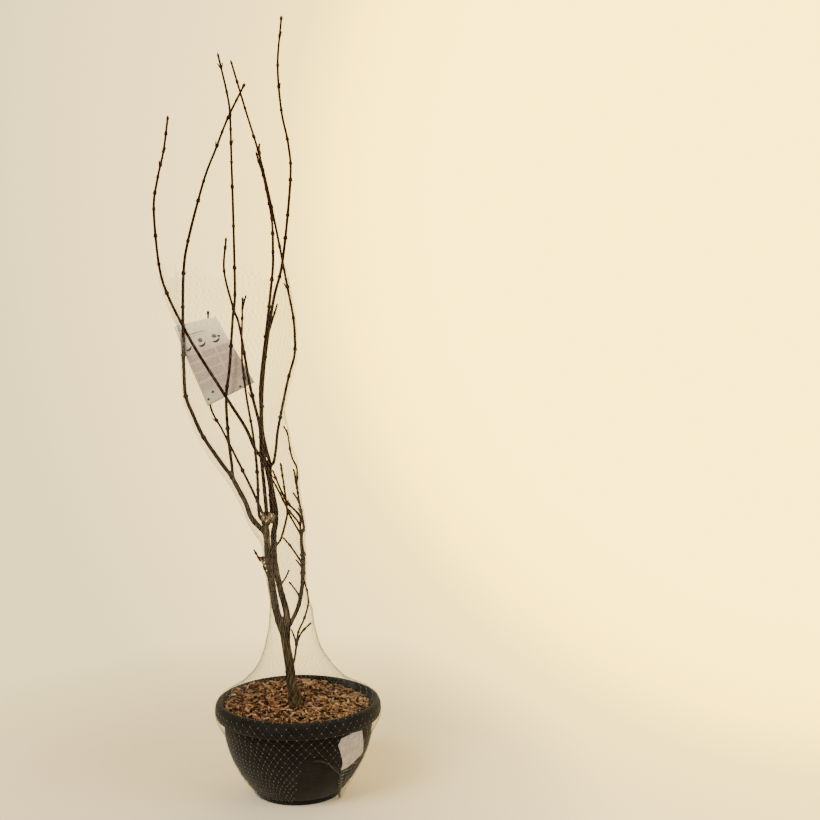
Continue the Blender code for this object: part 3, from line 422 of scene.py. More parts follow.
def smooth_path(way, step=PATH_STEP):
    """Points along a smooth curve through the stations."""
    stations = [np.array(point, dtype=float) for point in way]
    ends = [2 * stations[0] - stations[1]] + stations + [2 * stations[-1] - stations[-2]]
    points = []
    for a, b, c, d in zip(ends, ends[1:], ends[2:], ends[3:]):
        pieces = max(2, round(float(np.linalg.norm(c - b)) / step))
        for k in range(pieces):
            t = k / pieces
            points.append(0.5 * (2 * b + (c - a) * t + (2 * a - 5 * b + 4 * c - d) * t ** 2
                                 + (3 * b - a - 3 * c + d) * t ** 3))
    return np.array(points + [stations[-1]])


def walked(path):
    """Distance along a path at each of its points."""
    steps = np.linalg.norm(np.diff(path, axis=0), axis=1)
    return np.concatenate(([0.0], np.cumsum(steps)))


def rows_at(at, places, rows):
    """Rows of numbers, read off between the places of a table of rows."""
    return np.stack([np.interp(at, places, column) for column in rows.T], axis=-1)


def points_at(path, places):
    """Points at distances along a path."""
    return rows_at(places, walked(path), path)


def on_path(path, place):
    """The point at a distance along a path, and the direction there."""
    along = walked(path)
    k = min(max(int(np.searchsorted(along, place)) - 1, 0), len(path) - 2)
    heading = path[k + 1] - path[k]
    return Vector(points_at(path, place)), Vector(heading / np.linalg.norm(heading))


def height_places(path, heights):
    """Distances at which a rising path passes the given heights."""
    along = walked(path)
    places = []
    for k in range(len(path) - 1):
        a, b = path[k][2], path[k + 1][2]
        places += [along[k] + (along[k + 1] - along[k]) * (z - a) / (b - a) for z in heights if a < z <= b]
    return places


def read_off(table, at):
    """A value read from rising (place, value) pairs, in a straight line between them."""
    places, values = zip(*table)
    return np.interp(at, places, values)


def unit(vectors):
    """The same directions, each of length 1."""
    return vectors / np.maximum(np.linalg.norm(vectors, axis=-1, keepdims=True), 1e-12)


def frames(points):
    """Direction, side and second side at each point, without any twist along the way."""
    ahead = unit(np.gradient(points, axis=0))
    side = np.cross(ahead[0], (0.0, 1.0, 0.0))
    sides = []
    for direction in ahead:
        side = side - direction * np.dot(side, direction)
        side = side / np.linalg.norm(side)
        sides.append(side)
    sides = np.array(sides)
    return ahead, sides, np.cross(ahead, sides)


class Stalk:
    """A limb's middle line and how thick it is along that."""

    def __init__(self, limb):
        self.limb = limb
        self.path = smooth_path(limb.way)
        self.length = walked(self.path)[-1]

    def radius(self, places):
        """Half the width at distances from the foot."""
        places = np.asarray(places, dtype=float)
        limb = self.limb
        if limb.girth:
            width = read_off(limb.girth, points_at(self.path, places)[..., 2])
        else:
            width = limb.foot + (limb.tip - limb.foot) * places / self.length
        if limb.knob:
            share = (places - (self.length - limb.knob[1])) / limb.knob[1]
            burr = read_off(KNOB_SHAPE, share) * limb.knob[0]
            width = np.where(share > 0.0, burr, width)
        thin = np.clip((THIN_WIDTH - width) / THINNING, 0.0, 1.0)
        return width / 2 * BARK_SHARE + BARK + THIN_BARK * thin


# Pairs of buds

def node_distances(length, rule):
    """Where the pairs of buds sit, worked out from the tip down."""
    places = []
    at = length - TIP_INTERNODE * rule.uniform(*TIP_SHARE)
    while at > BARE_FOOT:
        places.append(at)
        beyond = max(0, len(places) - SHORT_PAIRS)
        step = min(TIP_INTERNODE + INTERNODE_GROWTH * beyond, LONGEST_INTERNODE)
        at -= step * rule.uniform(*UNEVENNESS)
    return places


def grow_buds(path, rule, heights=(), first=0.0):
    """Buds as (place, point, direction of the shoot, side, size, is a spur, reach)."""
    if heights:
        places = height_places(path, heights)[::-1]
    else:
        places = node_distances(walked(path)[-1], rule)
    turn = rule.uniform(0.0, math.pi)
    buds = []
    for at in places:
        turn += math.pi / 2 + rule.uniform(-PAIR_SWAY, PAIR_SWAY)
        for half in (0.0, math.pi):
            size = rule.uniform(*UNEVENNESS)
            is_spur = rule.random() < SPUR_SHARE
            reach = rule.uniform(*SPUR_LENGTH)
            if at < first:
                continue
            point, along = on_path(path, at)
            side = along.orthogonal().normalized()
            side.rotate(Matrix.Rotation(turn + half, 3, along))
            buds.append((at, point, along, side, size, is_spur, reach))
    return buds


# Trunk and stems: one skin round all of them, with rounded crotches

STEM_BOX = ((-0.136, -0.042, 0.150), (0.026, 0.036, 0.632))
STUB_LENGTH = 0.017             # of the feet of the boughs, which the skin takes in
STUB_BLEND = 0.0026
STUB_TAPER = (1.12, 0.84)
BURIED = 0.0065                 # the trunk runs down into the mulch by this
STATION = 0.004                 # between the capsules that a limb's field is made of


def field_axes():
    """Places of the grid's points along each axis."""
    return [np.arange(lo, hi, STEM_CELL, dtype=np.float32) for lo, hi in zip(*STEM_BOX)]


def add_to_field(field, axes, points, radii, blend):
    """Join a chain of tapering capsules to a distance field, smoothly."""
    reach = radii.max() + STEM_FIELD
    low = [max(int(np.searchsorted(axis, lo)), 0) for axis, lo in zip(axes, points.min(0) - reach)]
    high = [int(np.searchsorted(axis, hi)) for axis, hi in zip(axes, points.max(0) + reach)]
    block = field[low[0]:high[0], low[1]:high[1], low[2]:high[2]]
    near = [axis[lo:hi] for axis, lo, hi in zip(axes, low, high)]
    own = np.full(block.shape, STEM_FIELD, dtype=np.float32)
    for a, b, ra, rb in zip(points, points[1:], radii, radii[1:]):
        margin = max(ra, rb) + STEM_FIELD / 2
        window = tuple(slice(int(np.searchsorted(axis, lo)), int(np.searchsorted(axis, hi)))
                       for axis, lo, hi in zip(near, np.minimum(a, b) - margin, np.maximum(a, b) + margin))
        x = near[0][window[0]][:, None, None] - np.float32(a[0])
        y = near[1][window[1]][None, :, None] - np.float32(a[1])
        z = near[2][window[2]][None, None, :] - np.float32(a[2])
        d = (b - a).astype(np.float32)
        t = np.clip((x * d[0] + y * d[1] + z * d[2]) / np.float32(d @ d), 0, 1)
        away = np.sqrt((x - t * d[0]) ** 2 + (y - t * d[1]) ** 2 + (z - t * d[2]) ** 2)
        own[window] = np.minimum(own[window], away - np.float32(ra) - t * np.float32(rb - ra))
    close = (own < STEM_FIELD * 0.98) & (block < STEM_FIELD * 0.98)
    share = np.where(close, np.clip(blend - np.abs(block - own), 0, None) / blend, 0)
    block[:] = np.minimum(block, own) - share ** 2 * (blend / 4)


def skin_of_field(field, axes):
    """Verts and quads of the surface where the field is nought."""
    origin = np.array([axis[0] for axis in axes])
    inside = field < 0
    nx, ny, nz = field.shape
    total = np.zeros((nx - 1, ny - 1, nz - 1), dtype=np.uint8)
    for i, j, k in CUBE:
        total += inside[i:nx - 1 + i, j:ny - 1 + j, k:nz - 1 + k]
    cells = np.argwhere((total > 0) & (total < 8))
    number = np.full(total.shape, -1, dtype=np.int32)
    number[tuple(cells.T)] = np.arange(len(cells))
    values = {corner: field[tuple((cells + corner).T)] for corner in CUBE}
    place = np.zeros((len(cells), 3))
    count = np.zeros(len(cells))
    for a, axis in product(CUBE, range(3)):
        if a[axis]:
            continue
        b = a[:axis] + (1,) + a[axis + 1:]
        crossed = (values[a] < 0) != (values[b] < 0)
        gap = values[a] - values[b]
        t = np.where(crossed, values[a] / np.where(gap == 0, 1, gap), 0)
        for k in range(3):
            place[:, k] += np.where(crossed, a[k] + (t if k == axis else 0), 0)
        count += crossed
    verts = origin + STEM_CELL * (cells + place / count[:, None])
    quads = []
    for axis in range(3):
        low = [slice(None)] * 3
        high = [slice(None)] * 3
        low[axis] = slice(0, -1)
        high[axis] = slice(1, None)
        a, b = inside[tuple(low)], inside[tuple(high)]
        edges = np.argwhere(a != b)
        edges = edges[((edges > 0) | (np.arange(3) == axis)).all(axis=1)]
        outward = a[tuple(edges.T)]
        first, second = (axis + 1) % 3, (axis + 2) % 3
        ring = []
        for s1, s2 in ((-1, -1), (0, -1), (0, 0), (-1, 0)):
            cell = edges.copy()
            cell[:, first] += s1
            cell[:, second] += s2
            ring.append(number[tuple(np.minimum(cell, np.array(number.shape) - 1).T)])
        ring = np.stack(ring, axis=1)
        quads.append(np.where(outward[:, None], ring, ring[:, ::-1]))
    quads = np.concatenate(quads)
    return verts, quads[(quads >= 0).all(axis=1)]


# Long ridges, fine cracks and broad lumps of the bark: depth, scale of the noise, seed
BARK_FORMS = ((0.00050, (430, 430, 30), 3), (0.00030, (1150, 1150, 62), 5), (0.00075, (130, 130, 55), 9))
FULL_BARK = 0.0065              # radius at which the bark is as rough as that
BARK_DEPTHS = (0.25, 1.25)


def bark_relief(around, radius, place):
    """Relief of the bark in metres, rougher on thicker limbs."""
    spot = np.concatenate([around * radius[..., None], place[..., None]], axis=-1)
    relief = sum(depth * noise(spot, scale, seed) for depth, scale, seed in BARK_FORMS)
    return np.clip(radius / FULL_BARK, *BARK_DEPTHS) * relief


# Rings of old buds round the stems: height, shift and half width of the line and of what lies by it
RING_FORMS = ((0.00042, 0.0, 0.0010), (-0.00022, 0.0022, 0.0012), (0.00035, 0.0, 0.0045))
RING_STEPS = (0.034, 0.060)
RING_WAVE = 0.0008
BARE_END = 0.02


def old_rings(around, place, length, seed):
    """The raised lines that old pairs of buds leave round a stem."""
    rule = random.Random(seed)
    at = rule.uniform(BARE_END, 2 * BARE_END)
    turn = np.arctan2(around[..., 1], around[..., 0])
    relief = np.zeros_like(place)
    while at < length - BARE_END:
        off = place - at - RING_WAVE * np.sin(2 * turn + rule.uniform(0, 6))
        relief += sum(height * hill(off - shift, width) for height, shift, width in RING_FORMS)
        at += rule.uniform(*RING_STEPS)
    return relief


def hill(off, width):
    """A smooth hill, 1 high in its middle."""
    return np.exp(-(off / width) ** 2)


def stem_skin(stalks, feet, name, looks, replaced):
    """The trunk and stems in one skin, with the feet of the limbs that leave them."""
    axes = field_axes()
    field = np.full([len(axis) for axis in axes], STEM_FIELD, dtype=np.float32)
    chains = []
    for stalk in stalks:
        places = np.linspace(0, stalk.length, max(3, int(stalk.length / STATION)))
        points, radii = points_at(stalk.path, places), stalk.radius(places)
        if stalk.limb is TRUNK:
            share = np.clip(1 - places / FLARE_HEIGHT, 0, None)
            radii = radii * (1 + FLARE_GROWTH * share ** 2)
            points = np.concatenate([points[:1] - (0, 0, BURIED), points])
            radii = np.concatenate([radii[:1] * 1.06, radii])
            places = np.concatenate([[-BURIED], places])
        add_to_field(field, axes, points, radii, STEM_BLEND)
        chains.append((stalk, points, radii, places, 1.0))
    for stalk in feet:
        places = np.linspace(0, STUB_LENGTH, 6)
        points, radii = points_at(stalk.path, places), stalk.radius(places)
        radii = radii * np.linspace(*STUB_TAPER, len(radii))
        add_to_field(field, axes, points, radii, STUB_BLEND)
        chains.append((stalk, points, radii, places, 0.25))
    for k, end in product(range(3), (0, -1)):
        border = [slice(None)] * 3
        border[k] = end
        field[tuple(border)] = STEM_FIELD
    verts, quads = skin_of_field(field, axes)
    shell = Shell()
    shell.add(verts + carve(verts, chains), quads)
    shell.piece(name, looks, replaced, "bark")


CARVED_WITHIN = 0.02            # of a limb's middle line
CARVE_FADE = 0.0022             # the relief fades where two limbs are nearly as close
ROOT_FOLDS = 5
ROOT_HEIGHT, ROOT_RELIEF = 0.024, 0.0016
BURR_RELIEF = 0.14              # share of the burr's width


def carve(verts, chains):
    """How far each vertex of the skin moves for the bark's relief."""
    best = np.full(len(verts), np.inf)
    second = np.full(len(verts), np.inf)
    move = np.zeros_like(verts)
    for seed, (stalk, points, radii, places, strength) in enumerate(chains):
        fine = np.linspace(places[0], places[-1], max(3, int((places[-1] - places[0]) / 0.0015)))
        middle = rows_at(fine, places, points)
        width = np.interp(fine, places, radii)
        ahead, side, other = frames(middle)
        gap = np.full(len(verts), np.inf)
        nearest = np.zeros(len(verts), dtype=int)
        low, high = middle.min(0) - CARVED_WITHIN, middle.max(0) + CARVED_WITHIN
        rows = np.flatnonzero(((verts > low) & (verts < high)).all(axis=1))
        for lot in np.array_split(rows, max(1, len(rows) // 4000)):
            if len(lot) == 0:
                continue
            away = np.linalg.norm(verts[lot][:, None] - middle[None], axis=-1) - width[None]
            nearest[lot] = away.argmin(axis=1)
            gap[lot] = away.min(axis=1)
        off = verts - middle[nearest]
        along = (off * ahead[nearest]).sum(-1)
        out = unit(off - along[:, None] * ahead[nearest])
        around = np.stack([(out * side[nearest]).sum(-1), (out * other[nearest]).sum(-1)], axis=-1)
        place = fine[nearest] + along
        relief = strength * bark_relief(around, width[nearest], place)
        if strength == 1.0:
            relief = relief + old_rings(around, place, places[-1], 40 + seed)
        if stalk.limb is TRUNK:
            angle = np.arctan2(around[:, 1], around[:, 0])
            low = np.clip(1 - place / ROOT_HEIGHT, 0, 1.3) ** 2
            relief = relief + low * ROOT_RELIEF * np.cos(ROOT_FOLDS * angle + 0.8 + 1.3 * np.sin(angle))
        if stalk.limb.knob:
            burr = np.clip((place - places[-1] + 1.3 * stalk.limb.knob[1]) / 0.006, 0, 1)
            rough = noise(verts, (330, 330, 330), 21) + 0.6 * noise(verts, (800, 800, 800), 22)
            relief = relief + burr * stalk.limb.knob[0] * BURR_RELIEF * rough
        better = gap < best
        second = np.where(better, best, np.minimum(second, gap))
        move[better] = (out * relief[:, None])[better]
        best = np.where(better, gap, best)
    fade = np.clip((second - best) / CARVE_FADE, 0, 1)
    return move * fade[:, None]


# Boughs, shoots and twigs: rings along their middle lines

BARK_LOOK, BUD_LOOK = 0, 1      # numbers of the looks of boughs and shoots
SWELLING = 0.00095              # of the shoot at a pair of buds
CUSHION = 0.00090               # under each bud
SCAR = 0.00018                  # the raised line of the leaf scars
NODE_REACH = 0.012
FLARE_REACH = 0.0048            # over which a limb widens towards its foot


def bud_angle(side, first, second):
    """Where a direction lies round a limb whose two side vectors are given."""
    side = np.array(side)
    return math.atan2(float(side @ second), float(side @ first))


def node_relief(places, turns, pairs):
    """Swelling of a limb at its pairs of buds: pairs of (place, angle)."""
    relief = np.zeros((len(places), len(turns)))
    for at, angle in pairs:
        off = (places - at)[:, None]
        near = np.abs(off[:, 0]) < NODE_REACH
        off = off[near]
        faced = np.cos(turns[None] - angle) ** 2
        swell = SWELLING * hill(off, 0.0024)
        swell = swell + CUSHION * faced * hill(off + 0.0007, 0.0016)
        swell = swell + SCAR * hill(off + 0.0012 * faced - 0.0012, 0.00045)
        relief[near] += swell
    return relief


def tube_rings(shell, stalk, start, end, step, sides, pairs=(), flare=0.0, rough=1.0):
    """Add the rings of a limb from one distance to another, with closed ends."""
    rows = max(4, int((end - start) / step))
    places = np.linspace(start, end, rows)
    points = points_at(stalk.path, places)
    all_places = np.linspace(0, stalk.length, max(8, int(stalk.length / 0.003)))
    _, side_all, other_all = frames(points_at(stalk.path, all_places))
    side = unit(rows_at(places, all_places, side_all))
    other = unit(rows_at(places, all_places, other_all))
    turns = np.arange(sides) * 2 * np.pi / sides
    radius = stalk.radius(places)
    radius = radius * (1 + flare * hill(places, FLARE_REACH))
    around = np.stack([np.cos(turns), np.sin(turns)], axis=-1)
    wide = np.broadcast_to(radius[:, None], (rows, sides))
    where = np.broadcast_to(places[:, None], (rows, sides))
    relief = rough * bark_relief(np.broadcast_to(around, (rows, sides, 2)), wide, where)
    angles = []
    for at, turn in pairs:
        nearest = np.abs(places - at).argmin()
        known = isinstance(turn, float)
        angles.append((at, turn if known else bud_angle(turn, side[nearest], other[nearest])))
    grown = np.clip((radius - 0.0012) / 0.0011, 0.25, 1.2)
    relief = relief + node_relief(places, turns, angles) * grown[:, None]
    out = side[:, None] * np.cos(turns)[None, :, None] + other[:, None] * np.sin(turns)[None, :, None]
    verts = (points[:, None] + out * (wide + relief)[..., None]).reshape(-1, 3)
    count = rows * sides
    ahead = unit(points[-1] - points[-2])
    verts = np.concatenate([verts, [points[0]], [points[-1] + ahead * radius[-1] * 0.5]])
    shell.add(verts, grid_quads(rows, sides), fan(0, sides, count, True),
              fan(count - sides, sides, count + 1), look=BARK_LOOK)


BUD_SHAPE = ((0.0, 0.62), (0.12, 0.92), (0.3, 1.06), (0.5, 0.95), (0.68, 0.70), (0.84, 0.40), (1.0, 0.06))
BUD_SIDES = 8
PRESSED = 0.62                  # share of their solids' lean that the buds have here
BUD_TURN_IN = 0.55              # how far a bud's tip turns back along the shoot
BUD_SCALES = 0.07               # relief of its two scales, a share of its radius
END_BUD = (0.0086, 0.0020)      # length and radius
END_BUD_SINK, END_BUD_SIDE, END_BUD_LEAN = 0.0038, 0.00070, 0.13
SPUR_BUD = (0.0034, 0.0013)
SPUR_WIDTHS = (0.0008, 0.0004)
TWIG_END_SIZE = 0.56            # of the end buds of side twigs
TWIG_STEP = 0.0011
FULL_TIP = 0.0022               # a shoot that ends thinner than this has smaller end buds
TWIG_BARK = 0.00035             # side twigs are this much wider than their solids, besides the bark
# How much wider a limb is at its foot, and how rough its bark is
SHOOT_FLARE, TWIG_FLARE, SPUR_FLARE, BOUGH_FLARE = 0.42, 0.5, 0.4, 0.25
SHOOT_ROUGH, TWIG_ROUGH, BOUGH_ROUGH = 0.55, 0.5, 0.75
SHOOT_END, TWIG_END = 0.0012, 0.0008    # the rings end this far below the tip, among its buds
BOUGH_START = 0.004


def add_bud(shell, root, lean, along, length, radius):
    """A pointed bud with two scales, bent in towards its shoot."""
    root, lean, along = np.array(root), np.array(lean), np.array(along)
    across = unit(np.cross(lean, along) + np.array([1e-9, 0, 0]))
    rings = []
    for t, wide in BUD_SHAPE:
        middle = root + length * (lean * t * (1 - BUD_TURN_IN * t) + along * BUD_TURN_IN * t * t)
        ahead = unit(lean * (1 - 2 * BUD_TURN_IN * t) + along * 2 * BUD_TURN_IN * t)
        out = np.cross(across, ahead)
        for k in range(BUD_SIDES):
            turn = 2 * math.pi * (k + 0.5 * (t > 0.4)) / BUD_SIDES
            scale = 1 + BUD_SCALES * math.cos(2 * turn) * (1 if t < 0.55 else -1)
            rings.append(middle + radius * wide * scale * (across * math.cos(turn) + out * math.sin(turn)))
    count = len(rings)
    rings.append(np.mean(rings[-BUD_SIDES:], axis=0) + 0.0002 * unit(along))
    rings.append(root)
    shell.add(rings, grid_quads(len(BUD_SHAPE), BUD_SIDES), fan(count - BUD_SIDES, BUD_SIDES, count),
              fan(0, BUD_SIDES, count + 1, True), look=BUD_LOOK)


def twig_stalk(way, foot, tip):
    return Stalk(Limb("twig", way, foot, tip))


class Crown:
    """All limbs' middle lines, by which a bud that would touch another limb is skipped."""

    def __init__(self, stalks):
        places = [np.arange(0, stalk.length, 0.0015) for stalk in stalks]
        self.points = np.concatenate([points_at(stalk.path, at) for stalk, at in zip(stalks, places)])
        self.radii = np.concatenate([stalk.radius(at) for stalk, at in zip(stalks, places)])
        self.owner = np.repeat(np.arange(len(stalks)), [len(at) for at in places])
        self.numbers = {id(stalk): k for k, stalk in enumerate(stalks)}

    def is_free(self, stalk, spots):
        """Whether the spots are clear of every limb but their own."""
        others = self.owner != self.numbers[id(stalk)]
        for spot in spots:
            away = np.linalg.norm(self.points - np.array(spot), axis=1) - self.radii
            if (away[others] < GAP + BUD_RADIUS).any():
                return False
        return True


def dress_buds(shell, crown, owner, stalk, buds):
    """Buds and short spurs of one shoot or side twig."""
    for at, point, along, side, size, is_spur, reach in buds:
        lean = along * math.cos(BUD_LEAN) + side * math.sin(BUD_LEAN)
        pressed = along * math.cos(BUD_LEAN * PRESSED) + side * math.sin(BUD_LEAN * PRESSED)
        radius = float(stalk.radius(at))
        root = point + side * max(radius - BUD_SINK, 0.0) - along * BUD_SINK
        length = reach if is_spur else BUD_LENGTH * size
        if not crown.is_free(owner, [root + lean * length, root + lean * length * 0.6]):
            continue
        slim = min(1.0, 0.35 + radius / 0.0028)
        if is_spur:
            bend = root + lean * length * 0.5 + side * 0.0002
            way = (tuple(root), tuple(bend), tuple(root + lean * length * 0.5 + pressed * length * 0.4))
            spur = twig_stalk(way, *(width * size * slim for width in SPUR_WIDTHS))
            tube_rings(shell, spur, 0.0, spur.length, TWIG_STEP, TWIG_SIDES, (), SPUR_FLARE, TWIG_ROUGH)
            end, ahead = on_path(spur.path, spur.length)
            add_bud(shell, end - ahead * 0.0008, ahead, ahead, SPUR_BUD[0] * size, SPUR_BUD[1] * size * slim)
        else:
            add_bud(shell, root, pressed, along, length * slim, BUD_RADIUS * size * slim)


def end_buds(shell, stalk, size, seed):
    """The pair of buds that ends a shoot."""
    rule = random.Random(seed)
    end, ahead = on_path(stalk.path, stalk.length)
    side = ahead.orthogonal().normalized()
    side.rotate(Matrix.Rotation(rule.uniform(0, math.pi), 3, ahead))
    for way in (-1, 1):
        lean = (ahead + side * way * END_BUD_LEAN).normalized()
        root = end - ahead * END_BUD_SINK * size + side * way * END_BUD_SIDE
        add_bud(shell, root, lean, ahead, END_BUD[0] * size, END_BUD[1] * size)


def shoot_piece(crown, limb, stalk, start, name, looks):
    """One shoot with its side twigs and buds, by the same rule as its solid."""
    rule = random.Random(limb.seed)
    shell = Shell()
    path, sides, flare = stalk.path, SHOOT_SIDES, SHOOT_FLARE
    if start > 0.0:
        along = walked(path)
        path = points_at(path, np.concatenate([[start], along[along > start + 0.0013]]))
        sides, flare = BOUGH_SIDES, 0.0
    buds = [(bud[0] + start,) + bud[1:] for bud in grow_buds(path, rule, heights=limb.nodes)]
    pairs = [(bud[0], bud[3]) for bud in buds[::2]]
    tube_rings(shell, stalk, start, stalk.length - SHOOT_END, SHOOT_STEP, sides, pairs, flare, SHOOT_ROUGH)
    dress_buds(shell, crown, stalk, stalk, buds)
    end_buds(shell, stalk, min(limb.tip / FULL_TIP, 1.0), limb.seed)
    for number, (way, foot, tip) in enumerate(limb.twigs):
        twig = twig_stalk(way, foot + TWIG_BARK, tip + TWIG_BARK)
        buds = grow_buds(twig.path, rule, first=BARE_TWIG)
        pairs = [(bud[0], bud[3]) for bud in buds[::2]]
        end = twig.length - TWIG_END
        tube_rings(shell, twig, 0.0, end, TWIG_STEP, TWIG_SIDES, pairs, TWIG_FLARE, TWIG_ROUGH)
        dress_buds(shell, crown, stalk, twig, buds)
        end_buds(shell, twig, TWIG_END_SIZE, limb.seed + 50 + number)
    shell.piece(name + "_bark", looks, (name,), "shoot")


OLD_NODES = (0.045, 0.062)      # where no heights are given: the first, and the mean step between them


def bough_piece(limb, stalk, cut, looks):
    """The lower part of a long limb, with the rings of its old buds."""
    rule = random.Random(limb.seed + 100)
    places = [at for at in height_places(stalk.path, limb.nodes) if at < cut]
    at = OLD_NODES[0]
    while at < cut and not limb.nodes:
        places.append(at)
        at += OLD_NODES[1] * rule.uniform(*UNEVENNESS)
    pairs = [(at, rule.uniform(0, math.pi)) for at in places]
    shell = Shell()
    tube_rings(shell, stalk, BOUGH_START, cut, BOUGH_STEP, BOUGH_SIDES, pairs, BOUGH_FLARE, BOUGH_ROUGH)
    shell.piece(limb.name + "_bark", looks, (limb.name,), "bark")


# Wounds: the callus at the top of the left stem, and the torn stub below it

LUMP_ROWS, LUMP_COLUMNS = 40, 60
LUMP_ROUGHNESS = 0.30 * 2.2
LUMP_GRAIN = ((480, 480, 150), (1300, 1300, 380))


def add_lump(shell, centre, sizes, seed, look):
    """A rough rounded lump, drawn out and pitted."""
    count = LUMP_ROWS * LUMP_COLUMNS
    tilt = np.linspace(0.06, np.pi - 0.06, LUMP_ROWS)[:, None]
    turn = np.arange(LUMP_COLUMNS)[None] * 2 * np.pi / LUMP_COLUMNS
    height = np.broadcast_to(np.cos(tilt), (LUMP_ROWS, LUMP_COLUMNS))
    spots = polar(np.sin(tilt), turn, height) * np.array(sizes)
    grain = noise(spots + np.array(centre), LUMP_GRAIN[0], seed) + 0.8 * noise(spots, LUMP_GRAIN[1], seed + 1)
    spots = spots * (1 + LUMP_ROUGHNESS * grain[..., None])
    verts = np.concatenate([spots.reshape(-1, 3), [spots[0].mean(0)], [spots[-1].mean(0)]]) + centre
    shell.add(verts, grid_quads(LUMP_ROWS, LUMP_COLUMNS)[:, ::-1], fan(0, LUMP_COLUMNS, count),
              fan(count - LUMP_COLUMNS, LUMP_COLUMNS, count + 1, True), look=look)


SLIVER = ((-0.5, -0.25), (0.42, -0.5), (0.5, 0.3), (-0.35, 0.5))


def add_sliver(shell, line, side, up, width, depth, look):
    """A sliver of wood along a line, four-sided and as wide and deep as told at each point."""
    verts = np.stack([line + width[:, None] * a * side + depth[:, None] * b * up for a, b in SLIVER], axis=1)
    count = 4 * len(line)
    shell.add(verts, grid_quads(len(line), 4), [(3, 2, 1, 0)], [tuple(range(count - 4, count))], look=look)


# Centre, half sizes and number of the look
CALLUS = (
    ((-0.0532, -0.0135, 0.5052), (0.0078, 0.0052, 0.0068), 0),
    ((-0.0440, -0.0115, 0.5050), (0.0050, 0.0046, 0.0072), 0),
    ((-0.0598, -0.0115, 0.5010), (0.0034, 0.0036, 0.0046), 1),
    ((-0.0490, -0.0125, 0.5108), (0.0046, 0.0040, 0.0036), 0),
    ((-0.0572, -0.0125, 0.5098), (0.0036, 0.0034, 0.0036), 0),
    ((-0.0525, -0.0120, 0.4966), (0.0052, 0.0040, 0.0038), 1),
    ((-0.0526, -0.0184, 0.4998), (0.0014, 0.0012, 0.0024), 2),
    ((-0.0440, -0.0160, 0.5085), (0.0011, 0.0010, 0.0034), 2),
    ((-0.0580, -0.0170, 0.5056), (0.0010, 0.0010, 0.0026), 2),
    ((-0.0445, -0.0115, 0.4975), (0.0036, 0.0036, 0.0034), 1),
)
FIBRES = 96                     # that stand out of it
FIBRES_FROM = 0.0052            # how far from its middle they start
FIBRE_SPREAD = (0.002, 0.0055)  # shift of their middle to the right, and half their height
FIBRE_LENGTH = (0.0035, 0.0100)
FIBRE_WIDTHS = 0.0013 * np.array([0.8, 1.0, 0.85, 0.6, 0.2])


def make_callus(looks):
    """Rough wound wood round the burr, with fibres that stand out of it."""
    shell = Shell()
    for seed, (centre, sizes, look) in enumerate(CALLUS):
        add_lump(shell, centre, sizes, 60 + 3 * seed, look)
    rule = np.random.default_rng(5)
    for _ in range(FIBRES):
        turn, level = rule.uniform(0, 2 * math.pi), rule.uniform(-0.7, 0.9)
        out = np.array([math.cos(turn), 0.8 * math.sin(turn), 0.0])
        shift = np.array([FIBRE_SPREAD[0], 0.0, FIBRE_SPREAD[1] * level])
        start = np.array(CALLUS[0][0]) + out * FIBRES_FROM + shift
        rise = 1.0 if rule.random() < 0.7 else -1.0
        ahead = unit(out * 0.35 + np.array([0, 0, rise]) + rule.normal(0, 0.25, 3))
        length = rule.uniform(*FIBRE_LENGTH)
        line = start + np.linspace(0, length, 5)[:, None] * ahead
        side = unit(np.cross(ahead, out))
        width = FIBRE_WIDTHS * rule.uniform(0.6, 1.4)
        add_sliver(shell, line, side, np.cross(side, ahead), width, width * 0.5, int(rule.random() < 0.6))
    shell.piece("callus", looks, (), "bark", sharp=60)


STUB_FOOT, STUB_CORNER = (-0.0520, 0.4010), (-0.0535, 0.4285)
STUB_TOP = 0.4326
STUB_LEAN = (-0.482, -0.06, 0.876)
STUB_SPLINTERS = 15
LONG_SPLINTERS = (4, 9)
SPLINTER_LOOKS = (3, 1, 2, 3, 2, 1)
SPLINTER_WIDTHS = np.array([0.8, 1, 1.05, 1, 0.95, 1, 0.9, 0.8, 0.4])
STUB_RIM_WIDTH = 0.0021
STUB_SPOT_SIZES = (0.0012, 0.0012, 0.0017)
STUB_RIM = ((-0.0710, -0.0090, 0.4312), (-0.0645, -0.0098, 0.4322), (-0.0585, -0.0094, 0.4328))
# STUB_SPOTS: spots of pale torn wood whose near-white tone is partly a painted highlight
STUB_SPOTS = ((-0.0582, -0.0120, 0.4232), (-0.0563, -0.0120, 0.4170), (-0.0540, -0.0120, 0.4086))
DEAD_TWIG = ((-0.0655, -0.0050, 0.4240), (-0.0700, -0.0062, 0.4325), (-0.0773, -0.0085, 0.4462))


